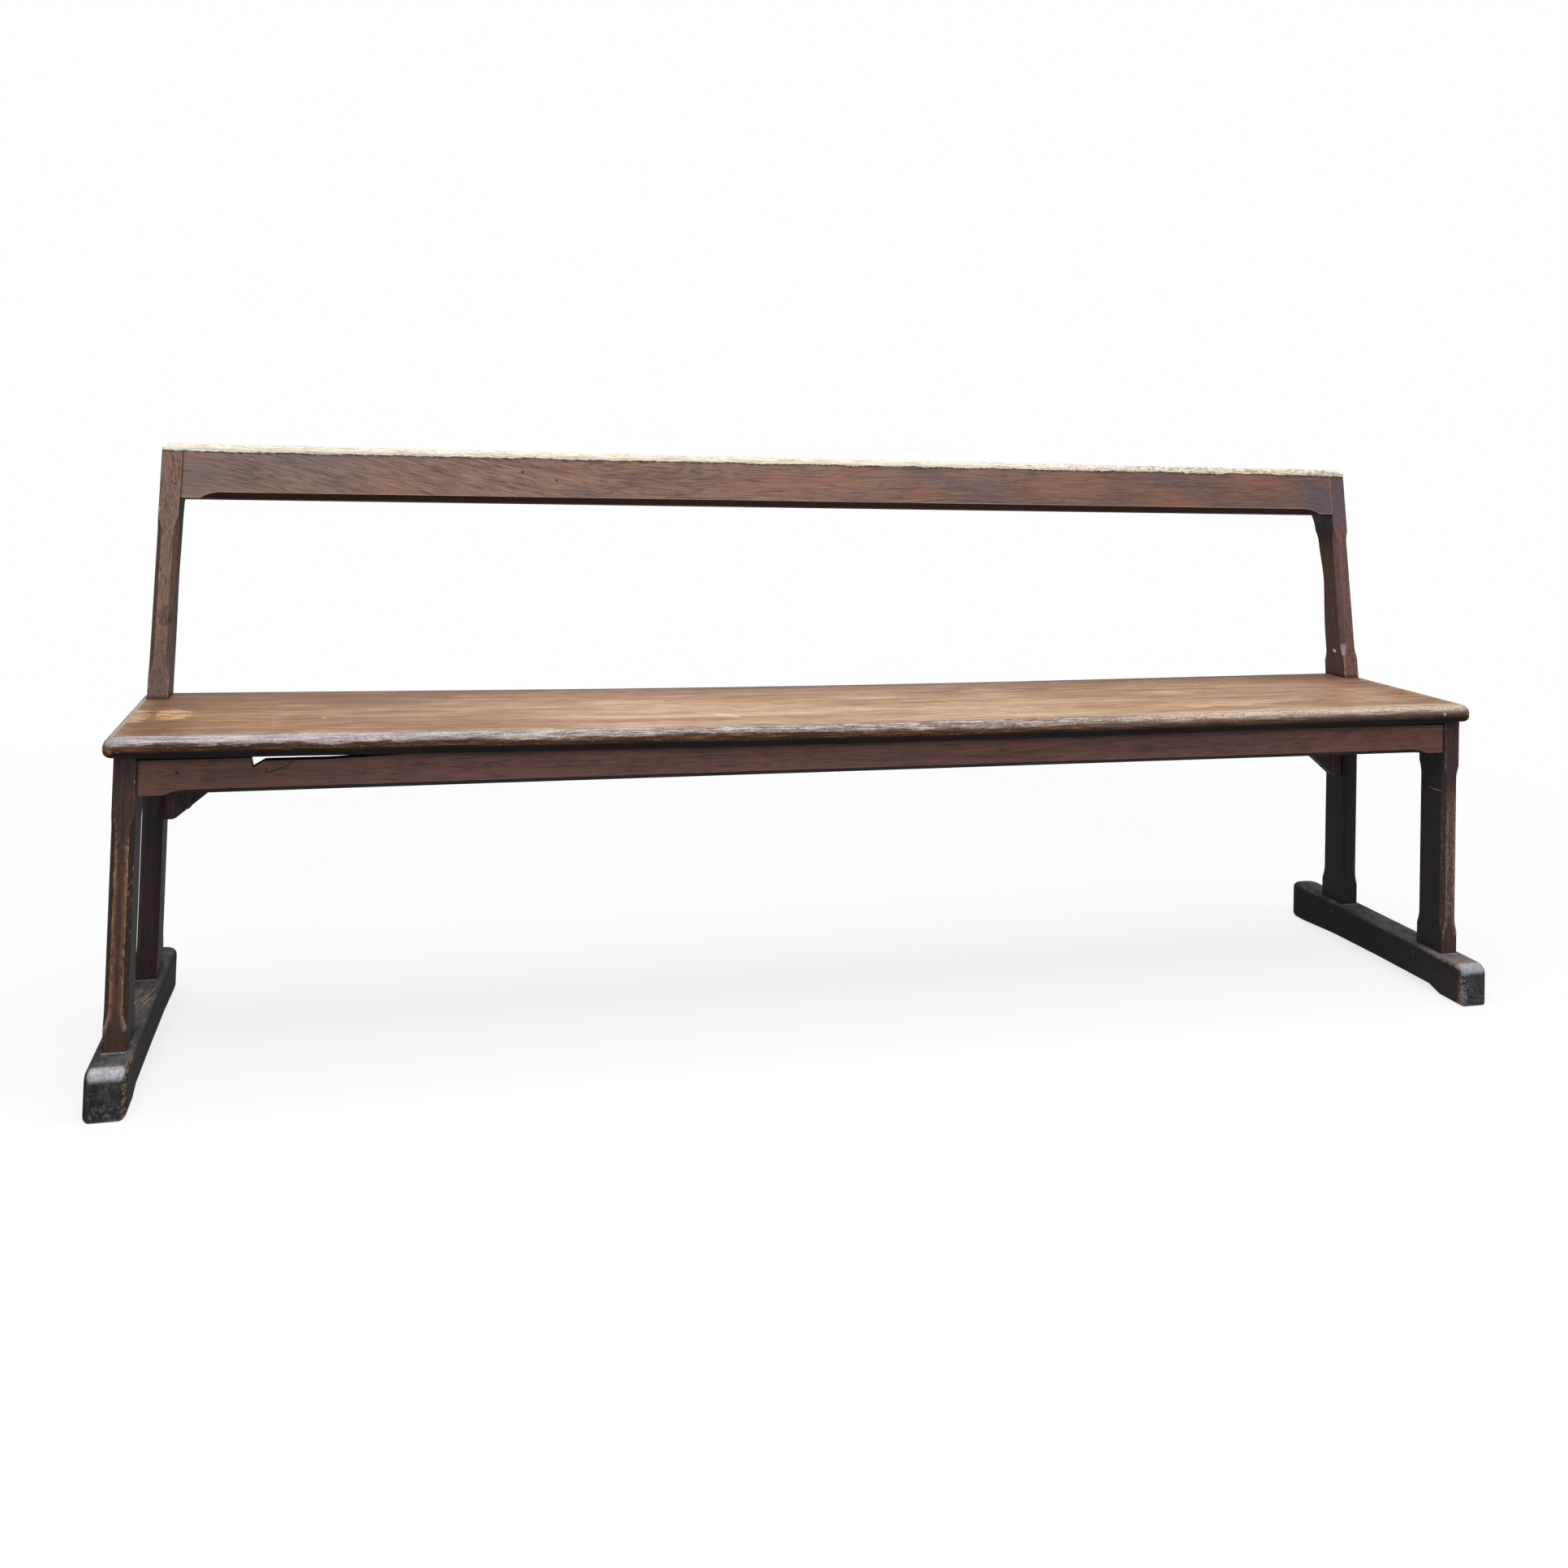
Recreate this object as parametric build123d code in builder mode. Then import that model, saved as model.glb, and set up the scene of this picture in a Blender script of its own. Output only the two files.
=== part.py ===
from build123d import *
from math import cos, radians, sin, sqrt, tan
import os

# A long settle: one seat board and one back rail carried by two end frames. Each end frame is a
# sledge foot, a front leg, a rear leg that goes on upwards as a raked back post, and a bearer
# under the seat. Sizes are in millimetres. X runs along the bench, Y from front to back, Z up.
# The origin is on the floor, midway between the two feet and midway along them.

# End frames
frame_span = 1968.0
leg_width = 28.0
leg_depth = 59.0
leg_spacing = 249.0
back_rake = 8.6
post_length = 392.0
arris_round = 1.5

# The back posts' rear edges, hollowed to a waist between the seat and the thicker head: places
# as shares of the height of the rail's lower edge, and of the waist's depth
post_waist = 12.3
post_head_depth = 63.0
post_head_above_rail = 5.0
waist_shares = [
    (0.143, 0.32), (0.37, 0.44), (0.56, 0.85), (0.645, 1), (0.74, 0.8), (0.85, 0.48), (0.94, 0.33),
]

# Sledge feet
foot_length = 445.0
foot_width = 50.0
foot_height = 61.0
foot_toe = 55.5
foot_nose_radius = 16.0
foot_sole_radius = 13.0
foot_tail_radius = 28.0
foot_heel_radius = 16.0
foot_tail_corner = 18.0
foot_edge_radius = 9.0
foot_relief = 7.5
front_pad = 50.0
front_ramp = 25.0
rear_pad = 34.0
rear_ramp = 90.0
rear_ramp_share = 0.72
slow_ramp = 120.0
ramp_round = 12.0
hollow_round = 120.0

# Seat board
seat_height = 450.0
seat_thickness = 26.0
seat_depth = 322.0
seat_sag = 5.6
seat_hold_share = 0.5
seat_spans = 16
seat_end_overhang = 13.0
seat_front_overhang = 16.0
seat_corner_radius = 16.0
seat_top_round = 13.0
seat_under_round = 9.0
seat_rear_round = 3.0
seat_notch_play = 0.6

# Back rail
rail_height = 80.0
rail_thickness = 28.0
rail_top_round = 10.0
rail_chamfer = 8.5
rail_chamfer_inset = 26.0
post_corner_round = 7.0

# Front apron, and the rear rail that is cut like it
apron_height = 43.5
apron_thickness = 18.0
apron_setback = 2.0
apron_chamfer = 6.0
apron_chamfer_inset = 31.0
apron_seat_gap = 0.3
rear_rail_setback = 11.0

# The splinter that has come away from the apron's top edge, with its outline as shares of its
# length and of its depth
splinter_start = 133.0
splinter_length = 203.0
splinter_depth = 12.8
splinter_outline_shares = [(0, 0), (0.015, 1), (0.085, 0.35), (0.48, 0.35), (0.77, 0.18), (1, 0)]

# Bearers that join the legs of each end frame under the seat
bearer_height = 45.0
bearer_thickness = 22.0

# Knee brackets in the corners between the rear legs and the rear rail
bracket_drop = 95.0
bracket_reach = 125.0
bracket_toe = 14.0
bracket_tip = 3.0
bracket_round = 14.0

# Stopped chamfers along the edges of the legs and posts
leg_chamfer = 6.0
leg_chamfer_above_foot = 29.0
leg_chamfer_below_seat = 69.0
post_chamfer_above_seat = 57.0
post_chamfer_below_rail = 26.0
stop_length = 17.0
stop_round = 60.0
stop_shares = [(0, 0), (0.4, 0.5), (0.75, 0.87), (1.1, 1)]
chamfer_spans = 16

# Tenons
joint_play = 0.2
foot_tenon_thickness = 14.0
foot_tenon_width = 56.0
foot_tenon_length = 42.0
bearer_tenon_thickness = 9.0
bearer_tenon_height = 33.0
bearer_tenon_length = 12.0
apron_tenon_thickness = 9.0
apron_tenon_height = 31.0
apron_tenon_length = 18.0
rail_tenon_thickness = 11.0
rail_tenon_height = 54.0
rail_tenon_length = 18.0

# Wooden pegs through the tenons, and the plug in the seat's front edge
peg_play = 0.15
peg_proud = 0.6
peg_nib = 0.6
foot_peg_diameter = 6.0
foot_peg_length = 40.0
foot_peg_drop = 15.5
front_foot_peg_offset = 23.0
rear_foot_peg_offset = 14.0
rail_peg_diameter = 6.5
rail_peg_length = 32.0
rail_peg_pitch = 34.0
bearer_peg_diameter = 6.0
bearer_peg_length = 24.0
plug_diameter = 6.0
plug_length = 12.0
plug_drop = 12.0
plug_from_end = 53.5

# Iron screws up through the bearers into the seat, and iron nails through the knee brackets
screw_diameter = 5.0
screw_length = 55.0
screw_head_diameter = 9.0
screw_head_height = 3.2
screw_head_play = 0.5
screw_slot_width = 1.2
screw_slot_depth = 1.4
screw_point = 7.0
screw_pitch = 110.0
screw_recess = 8.0
nail_diameter = 3.0
nail_bite = 14.0
nail_point = 6.0
nail_head_diameter = 7.0
nail_head_height = 1.6
nail_place_shares = [0.16, 0.8]

# How far a cutting shape runs past the wood that it cuts
overrun = 5.0

# Places that follow from the sizes above
frame_x = (frame_span - leg_width) / 2
outer_x = frame_span / 2
inner_x = outer_x - leg_width
foot_front_y = -foot_length / 2
foot_rear_y = foot_length / 2
front_leg_y = foot_front_y + foot_toe
rear_leg_y = front_leg_y + leg_spacing
seat_under = seat_height - seat_thickness
seat_end_x = outer_x + seat_end_overhang
seat_joint_x = inner_x - seat_notch_play
seat_front_y = front_leg_y - seat_front_overhang
apron_top = seat_under - seat_sag - apron_seat_gap
apron_bottom = apron_top - apron_height
apron_mid_z = apron_top - apron_height / 2
apron_front_y = front_leg_y + apron_setback
rear_rail_front_y = rear_leg_y + rear_rail_setback
bearer_bottom = seat_under - bearer_height
bearer_mid_z = seat_under - bearer_height / 2
bearer_front_y = front_leg_y + leg_depth
bearer_mid_y = (bearer_front_y + rear_leg_y) / 2
post_depth = leg_depth * cos(radians(back_rake))
rail_foot = post_length - rail_height
rail_middle = post_length - rail_height / 2
waist_foot = leg_depth * sin(radians(back_rake))
waist_top = rail_foot + post_head_above_rail

# Directions of the raked back: up along the posts, and square through them to the rear
along_bench = Vector(1, 0, 0)
up_post = Vector(0, sin(radians(back_rake)), cos(radians(back_rake)))
through_post = Vector(0, cos(radians(back_rake)), -sin(radians(back_rake)))

sides = {"left": -1, "right": 1}


def keep(piece, name):
    """Names a finished piece and writes it to its own file."""
    piece.part.label = name
    export_step(piece.part, f"parts/{name}.step")


def on_back(x, up, through):
    """A point of the raked back, from the line where the posts' front faces start to lean."""
    return Vector(x, rear_leg_y, seat_under) + up_post * up + through_post * through


def bow(x):
    """Height of the sagging seat board at x, over its height on the end frames."""
    along = (x / seat_joint_x) ** 2
    return seat_sag * (along - 1) * (1 - seat_hold_share * along)


def add_tenon(shoulder, thickness, width, length):
    """Adds a tenon that stands out of its shoulder plane."""
    with BuildSketch(shoulder) as section:
        Rectangle(thickness, width)
    extrude(section.sketch, amount=length)


def cut_mortise(shoulder, thickness, width, length):
    """Cuts the mortise for a tenon, from the same shoulder plane, with play all round."""
    with BuildSketch(shoulder) as section:
        Rectangle(thickness + 2 * joint_play, width + 2 * joint_play)
    extrude(section.sketch, amount=length + joint_play, mode=Mode.SUBTRACT)


def bore(mouth, diameter, depth):
    """Bores a round hole to a depth below its mouth plane, from a little in front of it."""
    with BuildSketch(mouth.offset(-overrun)) as section:
        Circle(diameter / 2)
    extrude(section.sketch, amount=overrun + depth, mode=Mode.SUBTRACT)


def bore_for_peg(mouth, diameter, length):
    """Bores the hole of a peg, a little wider and deeper than the peg."""
    bore(mouth, diameter + 2 * peg_play, length + peg_play)


def turn(mouth, outline):
    """Adds a round piece on the mouth's axis, from points given as depth and radius."""
    with BuildSketch(Plane(origin=mouth.origin, x_dir=mouth.z_dir, z_dir=mouth.x_dir)) as half:
        with BuildLine():
            Polyline(*outline, close=True)
        make_face()
    revolve(half.sketch, axis=Axis(mouth.origin, mouth.z_dir))


def drive_peg(mouth, diameter, length):
    """Adds a peg that stands a little proud of its mouth plane, with its end eased."""
    radius = diameter / 2
    turn(
        mouth,
        [
            (-peg_proud, 0),
            (-peg_proud, radius - peg_nib),
            (peg_nib - peg_proud, radius),
            (length, radius),
            (length, 0),
        ],
    )


def cut_stopped_chamfer(corner, along, inward, start, finish, width):
    """Chamfers an edge between two stops, where the chamfer runs out in a short curved slope."""
    depth = width / sqrt(2)
    with BuildSketch(Plane(origin=corner, x_dir=along, z_dir=along.cross(inward))) as section:
        with BuildLine():
            Polyline(
                (start, -width),
                (start, 0),
                (start + stop_length, depth),
                (finish - stop_length, depth),
                (finish, 0),
                (finish, -width),
                close=True,
            )
        make_face()
        fillet(section.vertices().group_by(Axis.Y)[-1], stop_round)
    extrude(section.sketch, amount=width, both=True, mode=Mode.SUBTRACT)


def cut_waist_chamfer(edge_x, to_middle, back_edge):
    """Chamfers a post's curved rear edge between two stops, through sections across the post."""
    start = (post_chamfer_above_seat - waist_foot) / (waist_top - waist_foot)
    finish = (rail_foot - post_chamfer_below_rail - waist_foot) / (waist_top - waist_foot)
    stop = stop_length / (waist_top - waist_foot)
    places = [(start + stop * along, cut) for along, cut in stop_shares]
    first = places[-1][0]
    last = finish - (first - start)
    places += [(first + (last - first) * span / chamfer_spans, 1) for span in range(1, chamfer_spans)]
    places += [(finish - stop * along, cut) for along, cut in reversed(stop_shares)]
    sections = []
    for place, cut in places:
        corner = back_edge @ place
        shift = leg_chamfer * (1 - cut) / 2
        with BuildSketch(Plane.XY.offset(corner.Z)) as section:
            with BuildLine():
                Polyline(
                    (edge_x + to_middle * (leg_chamfer - shift), corner.Y + shift),
                    (edge_x - to_middle * shift, corner.Y - leg_chamfer + shift),
                    (edge_x - to_middle * (leg_chamfer + shift), corner.Y + leg_chamfer + shift),
                    close=True,
                )
            make_face()
        sections.append(section.sketch)
    loft(sections, ruled=True, mode=Mode.SUBTRACT)


def chamfer_leg(sign, leg_y):
    """Cuts the four stopped chamfers of a leg between its foot and the seat."""
    start = foot_height + leg_chamfer_above_foot
    finish = seat_under - leg_chamfer_below_seat
    for edge_x, to_middle in ((inner_x, sign), (outer_x, -sign)):
        for edge_y, to_rear in ((leg_y, 1), (leg_y + leg_depth, -1)):
            corner = Vector(sign * edge_x, edge_y, 0)
            inward = Vector(to_middle, to_rear, 0).normalized()
            cut_stopped_chamfer(corner, Vector(0, 0, 1), inward, start, finish, leg_chamfer)


def foot_joint(sign, leg_y):
    """The shoulder plane between a leg and its foot, facing down into the foot."""
    middle = (sign * frame_x, leg_y + leg_depth / 2, foot_height)
    return Plane(origin=middle, x_dir=(1, 0, 0), z_dir=(0, 0, -1))


def bearer_joint(sign, leg_face_y, facing):
    """The shoulder plane between a bearer and the face of a leg, facing into the leg."""
    return Plane(origin=(sign * frame_x, leg_face_y, bearer_mid_z), x_dir=(1, 0, 0), z_dir=(0, facing, 0))


def apron_joint(sign, face_y):
    """The shoulder plane between the apron or the rear rail and a leg, facing into the leg."""
    middle = (sign * inner_x, face_y + apron_thickness / 2, apron_mid_z)
    return Plane(origin=middle, x_dir=(0, 1, 0), z_dir=(sign, 0, 0))


def rail_joint(sign):
    """The shoulder plane between the back rail and a post, facing into the post."""
    middle = on_back(sign * inner_x, rail_middle, rail_thickness / 2)
    return Plane(origin=middle, x_dir=through_post, z_dir=(sign, 0, 0))


def foot_peg_mouth(sign, y):
    """The mouth of a peg on the inner side of a foot."""
    middle = (sign * (frame_x - foot_width / 2), y, foot_height - foot_peg_drop)
    return Plane(origin=middle, x_dir=(0, 1, 0), z_dir=(sign, 0, 0))


def bearer_peg_mouth(sign, y):
    """The mouth of a peg on the outer face of a leg, through the bearer's tenon."""
    return Plane(origin=(sign * outer_x, y, bearer_mid_z), x_dir=(0, 1, 0), z_dir=(-sign, 0, 0))


def rail_peg_mouths(sign):
    """The mouths of the pegs on a post's front face, through the back rail's tenon."""
    peg_x = sign * (inner_x + rail_tenon_length / 2)
    low = on_back(peg_x, rail_middle - rail_peg_pitch / 2, 0)
    high = on_back(peg_x, rail_middle + rail_peg_pitch / 2, 0)
    return [Plane(origin=place, x_dir=(1, 0, 0), z_dir=through_post) for place in (low, high)]


def screw_mouths(sign):
    """The mouths of the seat screws in the underside of a bearer."""
    places = (bearer_mid_y - screw_pitch / 2, bearer_mid_y + screw_pitch / 2)
    return [
        Plane(origin=(sign * frame_x, y, bearer_bottom), x_dir=(1, 0, 0), z_dir=(0, 0, 1)) for y in places
    ]


def nails(sign):
    """The mouths of the nails on a knee bracket's sloping edge, each with the nail's length."""
    mid_y = rear_rail_front_y + apron_thickness / 2
    toe = Vector(sign * (inner_x - bracket_toe), mid_y, apron_bottom - bracket_drop)
    tip = Vector(sign * (inner_x - bracket_reach), mid_y, apron_bottom - bracket_tip)
    slope = (tip - toe).normalized()
    inward = Vector(sign * slope.Z, 0, abs(slope.X))
    found = []
    for share in nail_place_shares:
        place = toe + (tip - toe) * share
        to_leg = (sign * inner_x - place.X) / inward.X
        to_rail = (apron_bottom - place.Z) / inward.Z
        mouth = Plane(origin=place, x_dir=(0, 1, 0), z_dir=inward)
        found.append((mouth, min(to_leg, to_rail) + nail_bite))
    return found


def bore_for_nails(sign):
    """Bores the holes of a knee bracket's nails."""
    for mouth, length in nails(sign):
        bore_for_peg(mouth, nail_diameter, length)


front_foot_peg_y = front_leg_y + leg_depth / 2 + front_foot_peg_offset
rear_foot_peg_y = rear_leg_y + leg_depth / 2 - rear_foot_peg_offset
front_bearer_peg_y = bearer_front_y - bearer_tenon_length / 2
rear_bearer_peg_y = rear_leg_y + bearer_tenon_length / 2
plug_mouth = Plane(
    origin=(seat_end_x - plug_from_end, seat_front_y, seat_height - plug_drop),
    x_dir=(1, 0, 0),
    z_dir=(0, 1, 0),
)
back_section = Plane(origin=on_back(0, 0, 0), x_dir=through_post, z_dir=along_bench)

os.makedirs("parts", exist_ok=True)

for side, sign in sides.items():
    # Foot: a side outline with rounded ends and a hollowed underside, its rear end rounded in plan
    # as well, mortised for both legs
    with BuildPart() as foot:
        with BuildSketch(Plane.YZ.offset(sign * frame_x)) as foot_outline:
            with BuildLine():
                Polyline(
                    (foot_front_y, 0),
                    (foot_front_y + front_pad, 0),
                    (foot_front_y + front_pad + front_ramp, foot_relief),
                    (foot_rear_y - rear_pad - rear_ramp - slow_ramp, foot_relief),
                    (foot_rear_y - rear_pad - rear_ramp, foot_relief * rear_ramp_share),
                    (foot_rear_y - rear_pad, 0),
                    (foot_rear_y, 0),
                    (foot_rear_y, foot_height),
                    (foot_front_y, foot_height),
                    close=True,
                )
            make_face()
            levels = foot_outline.vertices().group_by(Axis.Y)
            low_corners = levels[0].sort_by(Axis.X)
            top_corners = levels[-1].sort_by(Axis.X)
            hollow_ends = levels[2].sort_by(Axis.X)
            fillet(top_corners[0], foot_nose_radius)
            fillet(top_corners[-1], foot_tail_radius)
            fillet(low_corners[0], foot_sole_radius)
            fillet(low_corners[-1], foot_heel_radius)
            fillet([low_corners[1], hollow_ends[0]], ramp_round)
            fillet([low_corners[2], hollow_ends[-1]] + levels[1], hollow_round)
        extrude(amount=foot_width / 2, both=True)
        with BuildSketch() as foot_plan:
            with Locations((sign * frame_x, 0)):
                Rectangle(foot_width, foot_length)
            fillet(foot_plan.vertices().group_by(Axis.Y)[-1], foot_tail_corner)
        extrude(amount=foot_height, mode=Mode.INTERSECT)
        long_edges = foot.faces().filter_by(Axis.X).edges() - foot.edges().filter_by(Axis.Z)
        fillet(long_edges, foot_edge_radius)
        for leg_y in (front_leg_y, rear_leg_y):
            cut_mortise(foot_joint(sign, leg_y), foot_tenon_thickness, foot_tenon_width, foot_tenon_length)
        for peg_y in (front_foot_peg_y, rear_foot_peg_y):
            bore_for_peg(foot_peg_mouth(sign, peg_y), foot_peg_diameter, foot_peg_length)
    keep(foot, f"{side}_foot")

    # Front leg: tenoned into the foot, and mortised for the apron and the bearer
    with BuildPart() as front_leg:
        with BuildSketch(Plane.XY.offset(foot_height)):
            with Locations((sign * frame_x, front_leg_y + leg_depth / 2)):
                RectangleRounded(leg_width, leg_depth, arris_round)
        extrude(amount=seat_under - foot_height)
        chamfer_leg(sign, front_leg_y)
        add_tenon(foot_joint(sign, front_leg_y), foot_tenon_thickness, foot_tenon_width, foot_tenon_length)
        cut_mortise(
            apron_joint(sign, apron_front_y), apron_tenon_thickness, apron_tenon_height, apron_tenon_length
        )
        cut_mortise(
            bearer_joint(sign, bearer_front_y, -1),
            bearer_tenon_thickness,
            bearer_tenon_height,
            bearer_tenon_length,
        )
        bore_for_peg(foot_peg_mouth(sign, front_foot_peg_y), foot_peg_diameter, foot_peg_length)
        bore_for_peg(bearer_peg_mouth(sign, front_bearer_peg_y), bearer_peg_diameter, bearer_peg_length)
    keep(front_leg, f"{side}_front_leg")

    # Back post: an upright rear leg that leans back above the seat, out of one piece of wood
    rear_points = [(rear_leg_y + leg_depth, seat_under)]
    for up, hollow in waist_shares:
        place = on_back(0, rail_foot * up, post_depth - post_waist * hollow)
        rear_points.append((place.Y, place.Z))
    head = on_back(0, waist_top, post_head_depth)
    rear_points.append((head.Y, head.Z))
    with BuildLine(Plane.YZ):
        back_edge = Spline(*rear_points)
    with BuildPart() as back_post:
        with BuildSketch(Plane.YZ.offset(sign * frame_x)) as post_outline:
            front_top = on_back(0, post_length, 0)
            rear_top = on_back(0, post_length, post_head_depth)
            with BuildLine():
                Spline(*rear_points)
                Polyline(
                    (head.Y, head.Z),
                    (rear_top.Y, rear_top.Z),
                    (front_top.Y, front_top.Z),
                    (rear_leg_y, seat_under),
                    (rear_leg_y, foot_height),
                    (rear_leg_y + leg_depth, foot_height),
                    (rear_leg_y + leg_depth, seat_under),
                )
            make_face()
            fillet(post_outline.vertices().sort_by(Axis.Y)[-2:], rail_top_round)
        extrude(amount=leg_width / 2, both=True)
        outer_face = back_post.faces().filter_by(Axis.X).sort_by(Axis.X)[-1 if sign > 0 else 0]
        outer_edges = outer_face.edges()
        fillet(outer_edges - outer_edges.group_by(Axis.Z)[0], arris_round)
        chamfer_leg(sign, rear_leg_y)
        for edge_x, to_middle in ((inner_x, sign), (outer_x, -sign)):
            inward = (along_bench * to_middle + through_post).normalized()
            finish = rail_foot - post_chamfer_below_rail
            cut_stopped_chamfer(
                on_back(sign * edge_x, 0, 0), up_post, inward, post_chamfer_above_seat, finish, leg_chamfer
            )
            cut_waist_chamfer(sign * edge_x, to_middle, back_edge)
        top_corner = Plane(
            origin=on_back(sign * outer_x, post_length, 0), x_dir=(-sign, 0, 0), z_dir=through_post
        )
        with BuildSketch(top_corner) as corner_waste:
            with Locations((0, 0)):
                Rectangle(2 * post_corner_round, 2 * post_corner_round)
            with Locations((post_corner_round, sign * post_corner_round)):
                Circle(post_corner_round, mode=Mode.SUBTRACT)
        extrude(amount=post_head_depth, mode=Mode.SUBTRACT)
        add_tenon(foot_joint(sign, rear_leg_y), foot_tenon_thickness, foot_tenon_width, foot_tenon_length)
        cut_mortise(
            apron_joint(sign, rear_rail_front_y),
            apron_tenon_thickness,
            apron_tenon_height,
            apron_tenon_length,
        )
        cut_mortise(
            bearer_joint(sign, rear_leg_y, 1),
            bearer_tenon_thickness,
            bearer_tenon_height,
            bearer_tenon_length,
        )
        cut_mortise(rail_joint(sign), rail_tenon_thickness, rail_tenon_height, rail_tenon_length)
        bore_for_peg(foot_peg_mouth(sign, rear_foot_peg_y), foot_peg_diameter, foot_peg_length)
        bore_for_peg(bearer_peg_mouth(sign, rear_bearer_peg_y), bearer_peg_diameter, bearer_peg_length)
        for mouth in rail_peg_mouths(sign):
            bore_for_peg(mouth, rail_peg_diameter, rail_peg_length)
        bore_for_nails(sign)
    keep(back_post, f"{side}_back_post")

    # Bearer: under the end of the seat, tenoned into both legs and bored for the seat screws
    with BuildPart() as bearer:
        with BuildSketch(bearer_joint(sign, rear_leg_y, -1)):
            RectangleRounded(bearer_thickness, bearer_height, arris_round)
        extrude(amount=rear_leg_y - bearer_front_y)
        for leg_face_y, facing in ((bearer_front_y, -1), (rear_leg_y, 1)):
            add_tenon(
                bearer_joint(sign, leg_face_y, facing),
                bearer_tenon_thickness,
                bearer_tenon_height,
                bearer_tenon_length,
            )
        for peg_y in (front_bearer_peg_y, rear_bearer_peg_y):
            bore_for_peg(bearer_peg_mouth(sign, peg_y), bearer_peg_diameter, bearer_peg_length)
        for mouth in screw_mouths(sign):
            bore(mouth, screw_head_diameter + 2 * screw_head_play, screw_recess)
            bore_for_peg(mouth, screw_diameter, screw_recess + screw_length)
    keep(bearer, f"{side}_bearer")

    # Knee bracket: a three-cornered board that stiffens the rear leg and the rear rail
    with BuildPart() as knee_bracket:
        with BuildSketch(Plane.XZ.offset(-rear_rail_front_y)) as bracket_outline:
            with BuildLine():
                Polyline(
                    (sign * inner_x, apron_bottom),
                    (sign * inner_x, apron_bottom - bracket_drop),
                    (sign * (inner_x - bracket_toe), apron_bottom - bracket_drop),
                    (sign * (inner_x - bracket_reach), apron_bottom - bracket_tip),
                    (sign * (inner_x - bracket_reach), apron_bottom),
                    close=True,
                )
            make_face()
            toe_corners = bracket_outline.vertices().group_by(Axis.Y)[0].sort_by(Axis.X)
            fillet(toe_corners[0 if sign > 0 else -1], bracket_round)
        extrude(amount=-apron_thickness)
        bore_for_nails(sign)
    keep(knee_bracket, f"{side}_knee_bracket")

    # Pegs through the tenons of the legs, the bearer and the back rail
    with BuildPart() as foot_pegs:
        for peg_y in (front_foot_peg_y, rear_foot_peg_y):
            drive_peg(foot_peg_mouth(sign, peg_y), foot_peg_diameter, foot_peg_length)
    keep(foot_pegs, f"{side}_foot_pegs")

    with BuildPart() as bearer_pegs:
        for peg_y in (front_bearer_peg_y, rear_bearer_peg_y):
            drive_peg(bearer_peg_mouth(sign, peg_y), bearer_peg_diameter, bearer_peg_length)
    keep(bearer_pegs, f"{side}_bearer_pegs")

    with BuildPart() as rail_pegs:
        for mouth in rail_peg_mouths(sign):
            drive_peg(mouth, rail_peg_diameter, rail_peg_length)
    keep(rail_pegs, f"{side}_rail_pegs")

    # Slotted screws with their heads in recesses of the bearer, and their points in the seat
    with BuildPart() as seat_screws:
        for mouth in screw_mouths(sign):
            head = screw_recess - screw_head_height
            point = screw_recess + screw_length
            turn(
                mouth,
                [
                    (head, 0),
                    (head, screw_head_diameter / 2),
                    (screw_recess, screw_head_diameter / 2),
                    (screw_recess, screw_diameter / 2),
                    (point - screw_point, screw_diameter / 2),
                    (point, 0),
                ],
            )
            with BuildSketch(mouth.offset(head)):
                Rectangle(screw_slot_width, 2 * screw_head_diameter)
            extrude(amount=screw_slot_depth, mode=Mode.SUBTRACT)
    keep(seat_screws, f"{side}_seat_screws")

    # Nails with flat heads on the knee bracket's sloping edge
    with BuildPart() as bracket_nails:
        for mouth, length in nails(sign):
            turn(
                mouth,
                [
                    (-nail_head_height, 0),
                    (-nail_head_height, nail_head_diameter / 2),
                    (0, nail_head_diameter / 2),
                    (0, nail_diameter / 2),
                    (length - nail_point, nail_diameter / 2),
                    (length, 0),
                ],
            )
    keep(bracket_nails, f"{side}_bracket_nails")

# Front apron: a board on edge between the front legs, with a stopped chamfer along its lower
# edge and a splinter gone from its top edge
with BuildPart() as front_apron:
    with BuildSketch(Plane.YZ):
        with Locations((apron_front_y + apron_thickness / 2, apron_mid_z)):
            Rectangle(apron_thickness, apron_height)
    extrude(amount=inner_x, both=True)
    lower_edge = Vector(0, apron_front_y, apron_bottom)
    inward = Vector(0, 1, 1).normalized()
    chamfer_end = inner_x - apron_chamfer_inset
    cut_stopped_chamfer(lower_edge, along_bench, inward, -chamfer_end, chamfer_end, apron_chamfer)
    with BuildSketch(Plane.XZ.offset(-apron_front_y)):
        splinter_x = splinter_start - inner_x
        bottom = [
            (splinter_x + along * splinter_length, apron_top - down * splinter_depth)
            for along, down in splinter_outline_shares
        ]
        with BuildLine():
            Polyline(
                *bottom,
                (splinter_x + splinter_length, apron_top + overrun),
                (splinter_x, apron_top + overrun),
                close=True,
            )
        make_face()
    extrude(amount=-apron_thickness, mode=Mode.SUBTRACT)
    for sign in sides.values():
        add_tenon(
            apron_joint(sign, apron_front_y), apron_tenon_thickness, apron_tenon_height, apron_tenon_length
        )
keep(front_apron, "front_apron")

# Rear rail: the same board between the rear legs, behind the front apron and out of sight
with BuildPart() as rear_rail:
    with BuildSketch(Plane.YZ):
        with Locations((rear_rail_front_y + apron_thickness / 2, apron_mid_z)):
            RectangleRounded(apron_thickness, apron_height, arris_round)
    extrude(amount=inner_x, both=True)
    for sign in sides.values():
        add_tenon(
            apron_joint(sign, rear_rail_front_y),
            apron_tenon_thickness,
            apron_tenon_height,
            apron_tenon_length,
        )
        bore_for_nails(sign)
keep(rear_rail, "rear_rail")

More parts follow.
